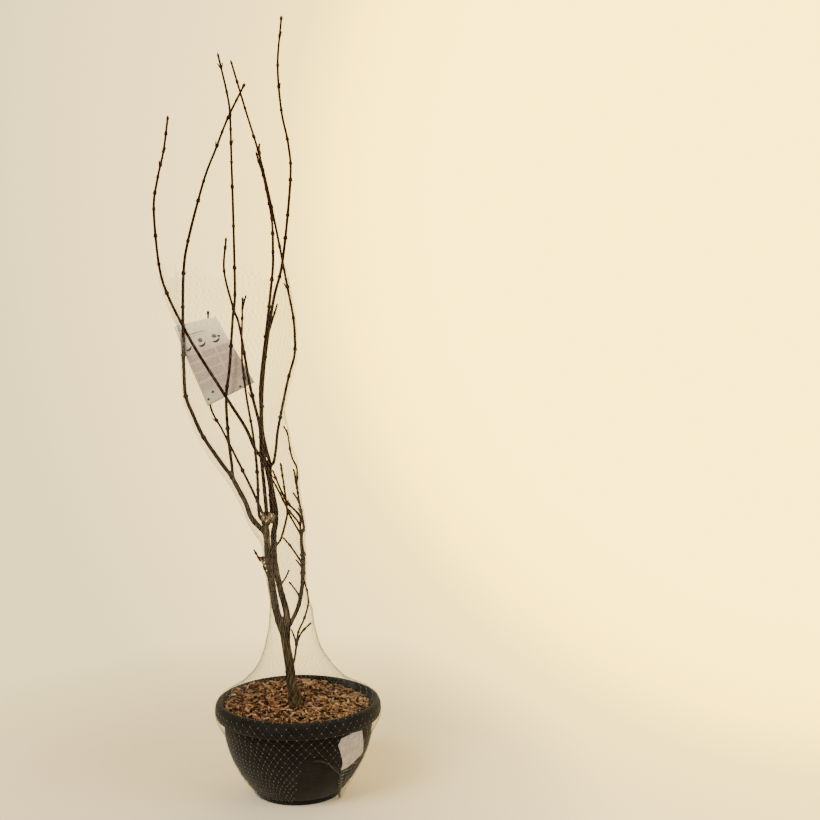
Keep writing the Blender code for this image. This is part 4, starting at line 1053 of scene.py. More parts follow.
def make_torn_stub(looks):
    """A stub of torn wood in long splinters, with the dead twig that is left on it."""
    shell = Shell()
    rule = np.random.default_rng(11)
    for k in range(STUB_SPLINTERS):
        share = k / (STUB_SPLINTERS - 1)
        x, z = np.array(STUB_FOOT) * (1 - share) + np.array(STUB_CORNER) * share
        start = np.array([x, -0.0040 - 0.0026 * math.sin(5.0 * k), z])
        ahead = unit(np.array(STUB_LEAN) + rule.normal(0, 0.05, 3))
        top = STUB_TOP + rule.normal(0, 0.0009) + (0.0022 if k in LONG_SPLINTERS else 0.0)
        length = max((top - z) / ahead[2], 0.005)
        places = np.linspace(0, 1, 9)
        line = start + places[:, None] * length * ahead + rule.normal(0, 0.00022, (9, 3))
        side = unit(np.cross(ahead, (0.15, 1.0, 0.0)))
        width = (0.0030 - 0.0008 * share) * SPLINTER_WIDTHS * rule.uniform(0.8, 1.2)
        look = SPLINTER_LOOKS[k % len(SPLINTER_LOOKS)] if k else 0
        add_sliver(shell, line, side, np.cross(side, ahead), width, width * 0.9, look)
    rim = smooth_path(STUB_RIM, 0.0015)
    rim = rim + rule.normal(0, 0.0003, rim.shape)
    width = np.full(len(rim), STUB_RIM_WIDTH)
    add_sliver(shell, rim, np.array([0.1, 0.0, 1.0]), np.array([0.0, -1.0, 0.0]), width, width * 1.6, 0)
    # pale torn wood, partly a painted highlight
    for seed, spot in enumerate(STUB_SPOTS):
        add_lump(shell, spot, STUB_SPOT_SIZES, 90 + seed, 4)
    twig = twig_stalk(DEAD_TWIG, 0.0030, 0.0015)
    tube_rings(shell, twig, 0.0, twig.length, 0.0009, TWIG_SIDES, [(twig.length * 0.72, 0.4)], rough=0.8)
    shell.piece("torn_stub", looks, ("broken_spur",), "bark", sharp=50)


# Pot

def turned_shell(spots, first, last):
    """A turned shell of rows of spots, closed at the heights of its two ends on the axis."""
    rows, turns = spots.shape[:2]
    count = rows * turns
    verts = np.concatenate([spots.reshape(-1, 3), [(0, 0, first)], [(0, 0, last)]])
    shell = Shell()
    shell.add(verts, grid_quads(rows, turns)[:, ::-1], fan(0, turns, count),
              fan(count - turns, turns, count + 1, True))
    return shell


def bowl_radius(z):
    """Outer radius of the bowl, which bellies out from its foot to the rim."""
    top = POT_HEIGHT - RIM_BAND
    share = np.clip((top - z) / (top - FOOT_HEIGHT), 0, None)
    return BOWL_TOP_RADIUS - (BOWL_TOP_RADIUS - BOWL_FOOT_RADIUS) * share ** BOWL_FULLNESS


def finer(points, step):
    """More points along a profile, on a smooth curve."""
    curve = smooth_path([(r, 0.0, z) for r, z in points], step)
    return [(p[0], p[2]) for p in curve]


# The pot is slightly out of round, and has fine mould rings on its bowl
OUT_OF_ROUND = 0.0016
WAVING = 0.0007                 # of the rim's height
MOULD_RINGS = (0.00010, 0.0075)


def make_pot(looks):
    """The pot with its rolled rim, turned finely."""
    top = POT_HEIGHT - RIM_BAND
    lip = RIM_RADIUS - RIM_MOUTH
    floor = [(0.0, WALL), (0.035, WALL), (FOOT_RADIUS - 2 * WALL - 0.002, WALL)]
    heights = np.linspace(FOOT_HEIGHT, top, 24)
    wall = [(float(bowl_radius(z)) - WALL, z) for z in heights]
    mouth = [(RIM_MOUTH - LIP_INSET, POT_HEIGHT - LIP_DROP), (RIM_MOUTH - 0.0012, POT_HEIGHT - 0.0018)]
    rim, hollow = ([(RIM_MOUTH + out * lip, POT_HEIGHT - down * RIM_BAND) for out, down in shares]
                   for shares in (RIM_OUTSIDE, RIM_HOLLOW))
    outside = [(float(bowl_radius(z)), z) for z in np.linspace(top, FOOT_HEIGHT + 0.0012, 44)]
    foot = [(BOWL_FOOT_RADIUS - 0.0012, FOOT_HEIGHT - 0.0003),
            (FOOT_RADIUS + FOOT_STEP, FOOT_HEIGHT - FOOT_STEP),
            (FOOT_RADIUS + 0.0004, 0.0055), (FOOT_RADIUS, 0.0009), (FOOT_RADIUS - 0.0009, 0.0),
            (FOOT_RADIUS - 0.006, 0.0), (0.0, 0.0)]
    profile = np.array(floor + finer(wall + mouth, 0.004) + finer(rim, 0.0009) + hollow + outside + foot)
    turn = np.arange(POT_TURNS)[None] * 2 * np.pi / POT_TURNS
    r, z = profile[1:-1, :1], profile[1:-1, 1:]
    share = np.clip(z / POT_HEIGHT, 0, 1)
    rings = MOULD_RINGS[0] * np.sin(z * 2 * np.pi / MOULD_RINGS[1]) * (r > 0.08)
    radius = r * (1 + OUT_OF_ROUND * share * np.cos(2 * turn + 0.6)) + rings
    lifted = z + WAVING * share ** 3 * np.cos(3 * turn + 1.0)
    height = np.minimum(np.where(z > 0.01, lifted, z), POT_HEIGHT)
    shell = turned_shell(polar(radius, turn, height), profile[0, 1], profile[-1, 1])
    shell.piece("pot_shell", looks, ("pot",), "pot", sharp=50)


# Mulch: the surface of the mix, and shredded bark on it

TRUNK_X = -0.005
HEAP = 0.0125                   # the mulch lies higher at the left and the back left
HEAP_TOWARDS = (-0.75, 0.55)
MOUND = (0.0022, 0.035)         # height and reach of the mound round the trunk
BED_RELIEF = ((0.0050, 120, 31), (0.0040, 300, 32))
BED_EDGE = ((1.0, 0.148), (0.97, 0.143))    # share of the radius and height, below the surface
CHIPS_WITHIN = 0.133
CHIP_STATIONS = 6
CHIP_LENGTH = (0.0055, 0.0125)  # the least, and what is added
LONG_CHIPS = (0.010, 0.05)      # length added to a share of them
CHIP_WIDTH = (0.13, 0.34)       # share of the length
CHIP_WIDEST = 0.0046
CHIP_THICKNESS = (0.25, 0.6)    # share of the width
CHIP_PITCH, CHIP_ROLL, CHIP_CURL = 0.26, 0.9, 0.12
CHIP_LIFT = (-0.0012, 0.0030)
CHIPS_CLEAR = 0.0125            # of the trunk's middle
DARK_CHIPS, RED_CHIPS, COLOURED_CHIPS = 0.20, 0.58, 0.93    # shares of the chips


def mulch_level(x, y):
    """Height of the mulch."""
    away = np.hypot(x, y)
    level = MIX_LEVEL + (MIX_EDGE_LEVEL - MIX_LEVEL) * np.clip((away - MIX_FLAT_RADIUS) / 0.1, 0, 1)
    heap = HEAP * np.clip((HEAP_TOWARDS[0] * x + HEAP_TOWARDS[1] * y) / 0.13, -0.22, 1)
    return level + heap + MOUND[0] * np.exp(-((x - TRUNK_X) ** 2 + y ** 2) / MOUND[1] ** 2)


def make_bed(look):
    """The rough surface of the mix."""
    ring = np.arange(MULCH_TURNS) * 2 * np.pi / MULCH_TURNS
    radii = np.linspace(0.0, MULCH_RADIUS, MULCH_RINGS + 1)[1:, None]
    spots = polar(radii, ring, np.zeros((MULCH_RINGS, MULCH_TURNS)))
    relief = sum(depth * noise(spots, scale, seed) for depth, scale, seed in BED_RELIEF)
    spots[..., 2] = mulch_level(spots[..., 0], spots[..., 1]) + relief - 0.0012
    spots[-1, :, 2] -= 0.002
    edges = [spots[-1:] * (share, share, 0) + (0, 0, level) for share, level in BED_EDGE]
    middle = float(mulch_level(0.0, 0.0)) - 0.001
    bed = turned_shell(np.concatenate([spots] + edges), middle, BED_EDGE[-1][1])
    bed.piece("mulch_bed", [look], ("potting_mix",), "mix")


def chip_tone(rule, x):
    """Number of a chip's look: redder at the left of the pot, more tan at the right."""
    pick = rule.random()
    warm = 0.5 - x / 0.26 + 0.12 * rule.normal()
    if pick < DARK_CHIPS:
        return 0
    if pick < DARK_CHIPS + RED_CHIPS * min(max(warm, 0.05), 0.95):
        return 1 if rule.random() < 0.6 else 2
    if pick < COLOURED_CHIPS:
        return 3 if rule.random() < 0.62 else 4
    return 5


def make_chips(looks):
    """Shredded bark that lies on the mix in all directions, clear of the trunk."""
    rule = np.random.default_rng(17)
    chips = Shell()
    made = 0
    stations = np.linspace(-0.5, 0.5, CHIP_STATIONS)
    while made < MULCH_CHIPS:
        at = CHIPS_WITHIN * math.sqrt(rule.random())
        turn = rule.random() * 2 * math.pi
        cx, cy = at * math.cos(turn), at * math.sin(turn)
        length = CHIP_LENGTH[0] + CHIP_LENGTH[1] * rule.beta(1.3, 3.2)
        length = length + (LONG_CHIPS[0] if rule.random() < LONG_CHIPS[1] else 0.0)
        wide = min(length * rule.uniform(*CHIP_WIDTH), CHIP_WIDEST)
        thick = wide * rule.uniform(*CHIP_THICKNESS)
        yaw = rule.random() * 2 * math.pi
        pitch = rule.normal(0.0, CHIP_PITCH)
        roll = rule.uniform(-CHIP_ROLL, CHIP_ROLL)
        curl = rule.normal(0.0, CHIP_CURL) * length
        lift = rule.uniform(*CHIP_LIFT)
        ahead = np.array([math.cos(yaw) * math.cos(pitch), math.sin(yaw) * math.cos(pitch), math.sin(pitch)])
        side = unit(np.cross((0, 0, 1.0), ahead))
        up = np.cross(ahead, side)
        side, up = side * math.cos(roll) + up * math.sin(roll), up * math.cos(roll) - side * math.sin(roll)
        ends = [(cx + s * ahead[0] * length, cy + s * ahead[1] * length) for s in (-0.5, 0.5)]
        if max(math.hypot(*end) for end in ends) > MULCH_RADIUS + 0.0006:
            continue
        if min(math.hypot(x - TRUNK_X, y) for x, y in ends + [(cx, cy)]) < CHIPS_CLEAR:
            continue
        middle = np.array([cx, cy, float(mulch_level(cx, cy)) + lift])
        width = wide * (1 - 0.65 * (2 * np.abs(stations)) ** rule.uniform(1.6, 4.0))
        width = width * rule.uniform(0.8, 1.15, CHIP_STATIONS)
        depth = thick * (1 - 0.5 * (2 * np.abs(stations)) ** 2) * rule.uniform(0.75, 1.2, CHIP_STATIONS)
        line = (middle + stations[:, None] * length * ahead + (curl * 4 * stations ** 2)[:, None] * up
                + rule.normal(0, 0.00025, CHIP_STATIONS)[:, None] * side)
        add_sliver(chips, line, side, up, width, depth, chip_tone(rule, cx))
        made += 1
    chips.piece("mulch_chips", looks, (), "mix", sharp=45)


# Sheets

def on_edge(edge, share):
    """Distance to the side and height of a spot on an edge of the label."""
    side = read_off([(at, x) for at, x, _ in edge], share)
    height = read_off([(at, z) for at, _, z in edge], share)
    return np.array([side, height], dtype=float)


def label_spot(across, up, lift=0.0):
    """A spot of the label between its four edges, as a point on the bowl."""
    def mix(a, b, t):
        return a + (b - a) * t
    left, right = on_edge(LABEL_LEFT, up), on_edge(LABEL_RIGHT, up)
    foot, top = on_edge(LABEL_FOOT, across), on_edge(LABEL_TOP, across)
    low = mix(on_edge(LABEL_FOOT, -0.5), on_edge(LABEL_FOOT, 0.5), across + 0.5)
    high = mix(on_edge(LABEL_TOP, -0.5), on_edge(LABEL_TOP, 0.5), across + 0.5)
    side, z = mix(left, right, across + 0.5) + mix(foot, top, up + 0.5) - mix(low, high, up + 0.5)
    radius = float(bowl_radius(z)) + GAP + lift
    angle = LABEL_ANGLE + side / float(bowl_radius(LABEL_MIDDLE))
    return np.array([radius * math.cos(angle), radius * math.sin(angle), z])


def card_front(corner):
    """Depth of the front of the card's solid at one of its corners."""
    verts = np.array([vert.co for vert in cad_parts["care_card"].data.vertices])
    near = np.hypot(verts[:, 0] - corner[0], verts[:, 2] - corner[1]) < 0.002
    return float(verts[near, 1].min())


# Depth of the card at its upper right corner, and its slope: depth per metre to the right
CARD_DEPTH = card_front(CARD_TOP[1])
CARD_SLOPE = (CARD_DEPTH - card_front(CARD_FOOT[1])) / (CARD_TOP[1][0] - CARD_FOOT[1][0])


CARD_OFF = 0.0006               # between the sheet and the front of its solid, besides its thickness


def card_spot(across, up, lift=0.0):
    """A spot of the care card, `lift` towards the viewer."""
    foot, top = (np.array(left) * (0.5 - across) + np.array(right) * (0.5 + across)
                 for left, right in (CARD_FOOT, CARD_TOP))
    x, z = foot * (0.5 - up) + top * (0.5 + up)
    curl = CARD_CURL * (2 * up) ** 2 * (0.5 - across)
    ripple = 0.0005 * math.sin(6 * across + 1.0) * math.sin(4.5 * up + 0.4)
    depth = CARD_DEPTH + CARD_SLOPE * (x - CARD_TOP[1][0]) + curl + SHEET + CARD_OFF + ripple
    return np.array([x, depth - lift, z])


def sheet_shell(shell, spot, rows, columns, thick, look=0, across=(-0.5, 0.5), up=(-0.5, 0.5), lift=0.0):
    """A thin closed sheet between two liftings of the same spots."""
    u = np.linspace(across[0], across[1], columns)
    v = np.linspace(up[0], up[1], rows)
    front = np.array([[spot(a, b, lift + thick) for a in u] for b in v]).reshape(-1, 3)
    back = np.array([[spot(a, b, lift) for a in u] for b in v]).reshape(-1, 3)
    count = rows * columns
    faces = grid_quads(rows, columns, closed=False)
    spots = np.arange(count).reshape(rows, columns)
    rim = np.concatenate([spots[:0:-1, 0], spots[0], spots[1:, -1], spots[-1, -2:0:-1]])
    beyond = np.roll(rim, -1)
    edge = np.stack([beyond, rim, rim + count, beyond + count], axis=-1)
    shell.add(np.concatenate([front, back]), faces, faces[:, ::-1] + count, edge, look=look)


PRINT_LIFT = SHEET + 0.00002
PRINT_THICK = 0.00008
DISC_SIDES = 22
DISC_ASPECT = 0.56


def card_disc(shell, centre, radius, look):
    """A small round spot printed on the card."""
    count = DISC_SIDES
    turns = [2 * math.pi * k / count for k in range(count)]
    ring = [(centre[0] + radius * math.cos(turn), centre[1] + radius * DISC_ASPECT * math.sin(turn))
            for turn in turns]
    front = [card_spot(a, b, PRINT_LIFT + PRINT_THICK) for a, b in ring + [centre]]
    back = [card_spot(a, b, PRINT_LIFT) for a, b in ring + [centre]]
    verts = np.array(front[:-1] + back[:-1] + front[-1:] + back[-1:])
    k = np.arange(count)
    beyond = (k + 1) % count
    shell.add(verts, fan(0, count, 2 * count), fan(count, count, 2 * count + 1, True),
              np.stack([beyond, k, k + count, beyond + count], axis=-1), look=look)


# Generic grey marks of the card: (left, right, foot, top) and the number of the look
CARD_BARS = (
    ((-0.45, -0.24, 0.425, 0.440), 1), ((-0.24, 0.12, 0.352, 0.362), 2), ((-0.40, -0.10, 0.322, 0.330), 1),
    ((-0.05, 0.14, 0.325, 0.333), 1), ((-0.46, 0.40, -0.345, -0.341), 1),
)
CARD_COLUMNS = ((-0.46, -0.20), (-0.15, 0.12), (0.17, 0.43))
CARD_ROWS = ((0.035, 0.120), (-0.085, 0.010), (-0.205, -0.110), (-0.325, -0.230))
CARD_LINES = 6                  # in each block
CARD_DISCS = (
    ((-0.069, 0.256), 0.050, 2), ((0.250, 0.257), 0.050, 2), ((0.344, 0.239), 0.028, 3),
    ((-0.292, -0.377), 0.028, 3), ((-0.429, -0.434), 0.026, 3), ((0.228, -0.465), 0.026, 3),
)
CARD_STROKES = (((-0.377, 0.184), 0.075), ((-0.066, 0.184), 0.085), ((0.251, 0.182), 0.088))
STROKE_WIDTH = 0.026
STROKE_BOW, STROKE_RISE = 0.020, 0.012


def card_marks():
    """The marks, with the lines of each block of print."""
    marks = list(CARD_BARS)
    rule = random.Random(9)
    for low, high in CARD_ROWS:
        for left, right in CARD_COLUMNS:
            step = (high - low) / CARD_LINES
            for k in range(CARD_LINES):
                short = rule.uniform(0.0, 0.30 if k == 0 else 0.06)
                end = right - short * (right - left)
                marks.append(((left, end, low + k * step, low + (k + 0.8) * step), 1))
    return marks


LABEL_CRUMPLE = (0.00022, 0.0005, 0.00035)  # how far it stands off: all over, its folds, and its edges


def make_sheets(paper, pale_ink, grey_ink, dark_ink, label_look):
    """The card with its marks, and the crumpled label on the bowl."""
    shell = Shell()
    sheet_shell(shell, card_spot, 34, 20, SHEET)
    for (left, right, low, high), look in card_marks():
        sheet_shell(shell, card_spot, 2, 5, PRINT_THICK, look, (left, right), (low, high), PRINT_LIFT)
    for centre, radius, look in CARD_DISCS:
        card_disc(shell, centre, radius, look)
    for (x, z), reach in CARD_STROKES:
        def stroke(a, b, lift, x=x, z=z, reach=reach):
            bow = STROKE_BOW * (2 * a) ** 2 + STROKE_RISE * 2 * a
            width = b * STROKE_WIDTH * (1.1 - 0.6 * abs(2 * a) ** 3)
            return card_spot(x + a * 2 * reach, z + bow + width, lift)
        sheet_shell(shell, stroke, 3, 9, PRINT_THICK, 3, lift=PRINT_LIFT)
    shell.piece("care_card_sheet", [paper, pale_ink, grey_ink, dark_ink], ("care_card",), "paper")

    def crumpled(across, up, lift):
        edge = min(0.5 - abs(across), 0.5 - abs(up))
        spot = label_spot(across, up)
        off, folds, edges = LABEL_CRUMPLE
        off = off + folds * float(noise(spot, 85, 41)) + edges * math.exp(-edge / 0.03)
        return label_spot(across, up, lift + max(off, 0.0))
    label = Shell()
    sheet_shell(label, crumpled, 30, 30, SHEET * 0.8)
    label.piece("label_sheet", [label_look], ("pot_label",), "paper")


# Net: drawn up over the pot and round the stems, torn open low at the right

NET_COLUMNS = 70
NET_SIDE = 0.0122               # of a diamond
NET_SIDE_ON_BOWL = 0.0104
NET_THREAD = 0.00011            # radius
NET_KNOT = 0.00062
NET_TOP = 0.968
NET_FACINGS = 240
NET_CLEAR = 0.0020              # from the limbs that it is drawn round
NET_BUNCHING = -0.30            # finer at the sides than at the front and back
# Radius and height over the foot and the rim; between them it lies on the bowl
NET_FOOT = ((0.0800, 0.0010), (0.0818, 0.0070), (0.0875, 0.0150))
NET_ON_BOWL = (0.025, 0.108)
NET_RIM = ((0.1392, 0.1215), (0.1487, 0.1395), (0.1505, 0.1510), (0.1502, 0.1600), (0.1474, 0.1686),
           (0.1425, 0.1728))
NET_OFF_POT = 0.0011
# Height, half width, half depth and x of the middle, where it rises from the rim to the stems
NET_BELL = (
    (0.1728, 0.1425, 0.1425, 0.0), (0.1765, 0.1355, 0.1355, -0.001), (0.1850, 0.1185, 0.1185, -0.0035),
    (0.200, 0.097, 0.097, -0.006), (0.220, 0.077, 0.077, -0.006), (0.240, 0.063, 0.063, -0.0065),
    (0.265, 0.051, 0.051, -0.0095), (0.285, 0.0457, 0.043, -0.010), (0.310, 0.0405, 0.037, -0.0112),
    (0.335, 0.0384, 0.031, -0.0114), (0.360, 0.0363, 0.026, -0.0137), (0.400, 0.0368, 0.022, -0.019),
)
NET_BELL_STEP, NET_CROWN_STEP = 0.003, 0.004
NET_HANDOVER = (0.340, 0.400)
NET_STUCK_THROUGH = ("broken_spur", "low_sucker", "right_spur", "middle_spur")
NET_SAG = 19.0                  # how fast it falls in between limbs, per metre
NET_SMOOTHING = 0.009           # height over which its reach is evened out
NET_LIMB_STEP, NET_LIMB_NEAR = 0.002, 0.005
# The tear: degrees round the pot and height
NET_TEAR = (
    (-84.5, 0.067), (-82.5, 0.087), (-77.5, 0.0975), (-70.5, 0.0990), (-62.5, 0.0875), (-55.0, 0.0740),
    (-49.0, 0.0560), (-43.0, 0.0300), (-41.0, -0.01), (-92.0, -0.01), (-87.5, 0.040),
)
# Right of the label the net is drawn together: the left edge of that part, as (height, degrees)
NET_DRAWN = ((0.0, -30.5), (0.020, -38.5), (0.040, -44.0), (0.056, -46.0), (0.0687, -46.5), (0.078, -35.0),
             (0.0873, -21.5), (0.110, -25.0), (0.134, -29.5))
NET_DRAWN_TOP = 0.134
NET_DRAWN_FOOT = 0.055          # below this it hangs in a bunch, off the pot
NET_DRAWN_OVER = (42.0, 62.0)   # degrees from that edge over which the pull dies away
NET_DRAWN_SHARE = 0.93
NET_DRAWN_OUT = 0.0085
NET_LABEL_ROOM = 0.0012 / 0.03  # share by which the hole over the label is wider than the label
# At the left of the foot the columns are turned on: where that starts and ends, as shares of a turn
NET_TWIST = 0.10
NET_TWIST_BELOW = 0.16
NET_TWIST_FROM, NET_TWIST_TO = (0.22, 0.1), (0.78, 0.28)
NET_WAVER = (0.010, 9.0)
NET_RIPPLE = 0.0012
NET_UNEVEN = 0.00028
NET_FLATTEST = 0.45             # of a side, for the height of half a diamond
NET_FLOOR = 0.0007              # lowest knots
NET_PIECES_MEET = 0.19          # height
KNOT_SHARES = {"net_on_pot": 1.0, "net_on_stems": 0.7}
THREAD_LOOK, KNOT_LOOK = 0, 1
# Degrees round the pot, height and distance off it, of the strands at the tear and in the bunch
TEAR_STRANDS = (
    (-74.0, 0.0985, 0.0004), (-68.0, 0.0975, 0.0006), (-61.0, 0.0868, 0.0008), (-54.0, 0.0735, 0.0012),
    (-47.5, 0.0580, 0.0025), (-44.5, 0.0440, 0.0040),
)
HANGING_STRANDS = (
    (-47.0, 0.0640, 0.0010), (-46.0, 0.0520, 0.0015), (-42.0, 0.0330, 0.0060), (-37.5, 0.0160, 0.0080),
    (-31.0, 0.0015, 0.0075),
)
STRANDS = 26                    # every third one runs along the tear
STRAND_SPREAD = (0.75, 0.0013, 0.0003)
STRAND_WAVE = (0.0006, 260)
STRAND_FLOOR = 0.0006


def pot_meridian():
    """Radius and height of the net over the pot."""
    heights = np.linspace(*NET_ON_BOWL, 7)
    bowl = [(float(bowl_radius(z)) + NET_OFF_POT, z) for z in heights]
    return list(NET_FOOT) + bowl + list(NET_RIM)


def limb_supports(stalks, heights, turns):
    """How far the limbs reach in each direction at each height, smoothed along the height."""
    raw = np.full((len(heights), len(turns)), -np.inf)
    facing = np.stack([np.cos(turns), np.sin(turns)])
    for stalk in stalks:
        if stalk.limb.name in NET_STUCK_THROUGH:
            continue
        places = np.arange(0, stalk.length, NET_LIMB_STEP)
        points = points_at(stalk.path, places)
        reach = points[:, :2] @ facing + stalk.radius(places)[:, None]
        for k, z in enumerate(heights):
            near = np.abs(points[:, 2] - z) < NET_LIMB_NEAR
            if near.any():
                raw[k] = np.maximum(raw[k], reach[near].max(axis=0))
    # it is taut, so it spans hollows between the limbs that hold it out
    raw = np.array([(raw - NET_SAG * ((heights - z) ** 2)[:, None]).max(axis=0) for z in heights])
    smooth = np.zeros_like(raw)
    for k, z in enumerate(heights):
        weight = np.exp(-((heights - z) / NET_SMOOTHING) ** 2)
        smooth[k] = (raw * weight[:, None]).sum(axis=0) / weight.sum()
    return smooth + NET_CLEAR


def bell_reach(z, turns):
    """How far the free part of the net reaches in each direction: an oval at each height."""
    table = np.array(NET_BELL)
    wide, deep, x = (np.interp(z, table[:, 0], table[:, k]) for k in (1, 2, 3))
    return np.hypot(wide * np.cos(turns), deep * np.sin(turns)) + x * np.cos(turns)


def net_stations(stalks):
    """Heights, and how far the net reaches in each direction there."""
    turns = np.arange(NET_FACINGS) * 2 * np.pi / NET_FACINGS
    pot = smooth_path([(r, 0.0, z) for r, z in pot_meridian()], NET_BELL_STEP)
    heights = [p[2] for p in pot]
    reach = [np.full(NET_FACINGS, p[0]) for p in pot]
    limbs_from = NET_HANDOVER[0]
    crown = np.arange(limbs_from, NET_TOP, NET_CROWN_STEP)
    drawn = limb_supports(stalks, crown, turns)
    for z in np.arange(NET_BELL[0][0] + 0.002, limbs_from, NET_BELL_STEP):
        heights.append(z)
        reach.append(bell_reach(z, turns))
    for k, z in enumerate(crown):
        share = np.clip((z - limbs_from) / (NET_HANDOVER[1] - limbs_from), 0, 1)
        heights.append(z)
        reach.append((1 - share) * bell_reach(z, turns) + share * drawn[k])
    return turns, np.array(heights), np.array(reach)


def inside_outline(outline, x, y):
    """Which of the spots lie inside a closed outline."""
    inside = np.zeros(np.shape(x), dtype=bool)
    for (x0, y0), (x1, y1) in zip(outline, outline[1:] + outline[:1]):
        crosses = (y0 > y) != (y1 > y)
        inside ^= crosses & (x < (x1 - x0) * (y - y0) / (y1 - y0 + 1e-12) + x0)
    return inside


def net_nodes(stalks):
    """Places of the knots, row by row."""
    turns, heights, reach = net_stations(stalks)
    mean = reach.mean(axis=1)
    along = np.concatenate(([0], np.cumsum(np.hypot(np.diff(heights), np.diff(mean)))))
    facing = np.stack([np.cos(turns), np.sin(turns)], axis=-1)
    across = np.stack([-facing[:, 1], facing[:, 0]], axis=-1)
    rule = np.random.default_rng(23)
    rows = []
    at = 0.0
    row = 0
    while at < along[-1]:
        z = np.interp(at, along, heights)
        support = rows_at(at, along, reach)
        slope = (np.roll(support, -1) - np.roll(support, 1)) / (2 * (turns[1] - turns[0]))
        outline = support[:, None] * facing + slope[:, None] * across
        closed = np.concatenate([outline, outline[:1]])
        ahead = walked(closed)
        share = (np.arange(NET_COLUMNS) + 0.5 * (row % 2)) / NET_COLUMNS
        share = share + NET_BUNCHING * np.sin(4 * np.pi * share) / (4 * np.pi)
        at_left = np.clip((NET_TWIST_TO[0] - share) / NET_TWIST_TO[1], 0, 1)
        at_left = at_left * np.clip((share - NET_TWIST_FROM[0]) / NET_TWIST_FROM[1], 0, 1)
        at_left = at_left * at_left * (3 - 2 * at_left)
        twist = NET_TWIST * at_left * np.clip((NET_TWIST_BELOW - z) / NET_TWIST_BELOW, 0, 1)
        share = (share + twist + NET_WAVER[0] * math.sin(at * NET_WAVER[1])) % 1.0
        spot = rows_at(share * ahead[-1], ahead, closed)
        height = z + NET_RIPPLE * np.sin(6 * np.pi * share + 0.3 * row) * min(1.0, z / 0.01)
        spots = np.concatenate([spot, height[:, None]], axis=1)
        spots = spots + rule.normal(0, NET_UNEVEN, spots.shape) * (1, 1, 1.4)
        if z < NET_DRAWN_TOP:
            spots = gathered(spots, z)
        spots[:, 2] = np.maximum(spots[:, 2], NET_FLOOR)
        rows.append(spots)
        half = ahead[-1] / (2 * NET_COLUMNS)
        side = NET_SIDE_ON_BOWL if z < NET_ON_BOWL[1] else NET_SIDE
        at += math.sqrt(max(side ** 2 - half ** 2, (NET_FLATTEST * side) ** 2))
        row += 1
    return np.array(rows)


def gathered(spots, z):
    """Right of the label the net is drawn together towards a hanging bunch."""
    angle = np.degrees(np.arctan2(spots[:, 1], spots[:, 0]))
    radius = np.hypot(spots[:, 0], spots[:, 1])
    edge = read_off(NET_DRAWN, max(z, 0.0))
    off = angle - NET_DRAWN[-1][1]
    held = np.clip(1 - (off - NET_DRAWN_OVER[0]) / NET_DRAWN_OVER[1], 0, 1)
    held = np.where(off > 0, held * held * (3 - 2 * held), 0.0)
    tight = np.clip((NET_DRAWN_TOP - z) / (NET_DRAWN_TOP - NET_DRAWN_FOOT), 0, 1)
    angle = angle + held * (edge + off * (1 - NET_DRAWN_SHARE * tight) - angle)
    low = np.clip(1 - z / NET_DRAWN_FOOT, 0, 1)
    radius = radius + NET_DRAWN_OUT * low * held
    return polar(radius, np.radians(angle), spots[:, 2])


def label_hides(angle, height):
    """Whether spots of the net lie over the label, which shows through a tear."""
    outline = [(x, z) for _, x, z in LABEL_FOOT + LABEL_RIGHT[1:] + LABEL_TOP[1::-1] + LABEL_LEFT[2:0:-1]]
    side = (np.radians(angle) - LABEL_ANGLE) * float(bowl_radius(LABEL_MIDDLE))
    middle = (0.0, LABEL_MIDDLE)
    wider = [tuple(c + (v - c) * (1 + NET_LABEL_ROOM) for v, c in zip(spot, middle)) for spot in outline]
    return inside_outline(wider, side, height)


def add_threads(shell, start, end, radius):
    """Straight three-sided threads from each start to its end."""
    ahead = unit(end - start)
    side = unit(np.cross(ahead, (0.31, 0.17, 0.93)))
    other = np.cross(ahead, side)
    turns = [2 * math.pi * k / 3 for k in range(3)]
    ring = [side * math.cos(turn) + other * math.sin(turn) for turn in turns]
    verts = np.stack([start + radius * r for r in ring] + [end + radius * r for r in ring], axis=1)
    first = np.arange(len(start))[:, None] * 6
    quads = np.concatenate([first + np.array([a, b, b + 3, a + 3]) for a, b in ((0, 1), (1, 2), (2, 0))])
    caps = np.concatenate([first + np.array([2, 1, 0]), first + np.array([3, 4, 5])])
    shell.add(verts, quads, caps, look=THREAD_LOOK)


def add_knots(shell, spots, radius):
    """Small knots of eight faces."""
    corners = np.array([(1, 0, 0), (0, 1, 0), (-1, 0, 0), (0, -1, 0), (0, 0, 1.25), (0, 0, -1.25)])
    verts = spots[:, None] + corners[None] * radius
    first = np.arange(len(spots))[:, None] * 6
    faces = []
    for k in range(4):
        n = (k + 1) % 4
        faces.append(first + np.array([k, n, 4]))
        faces.append(first + np.array([n, k, 5]))
    shell.add(verts, np.concatenate(faces), look=KNOT_LOOK)


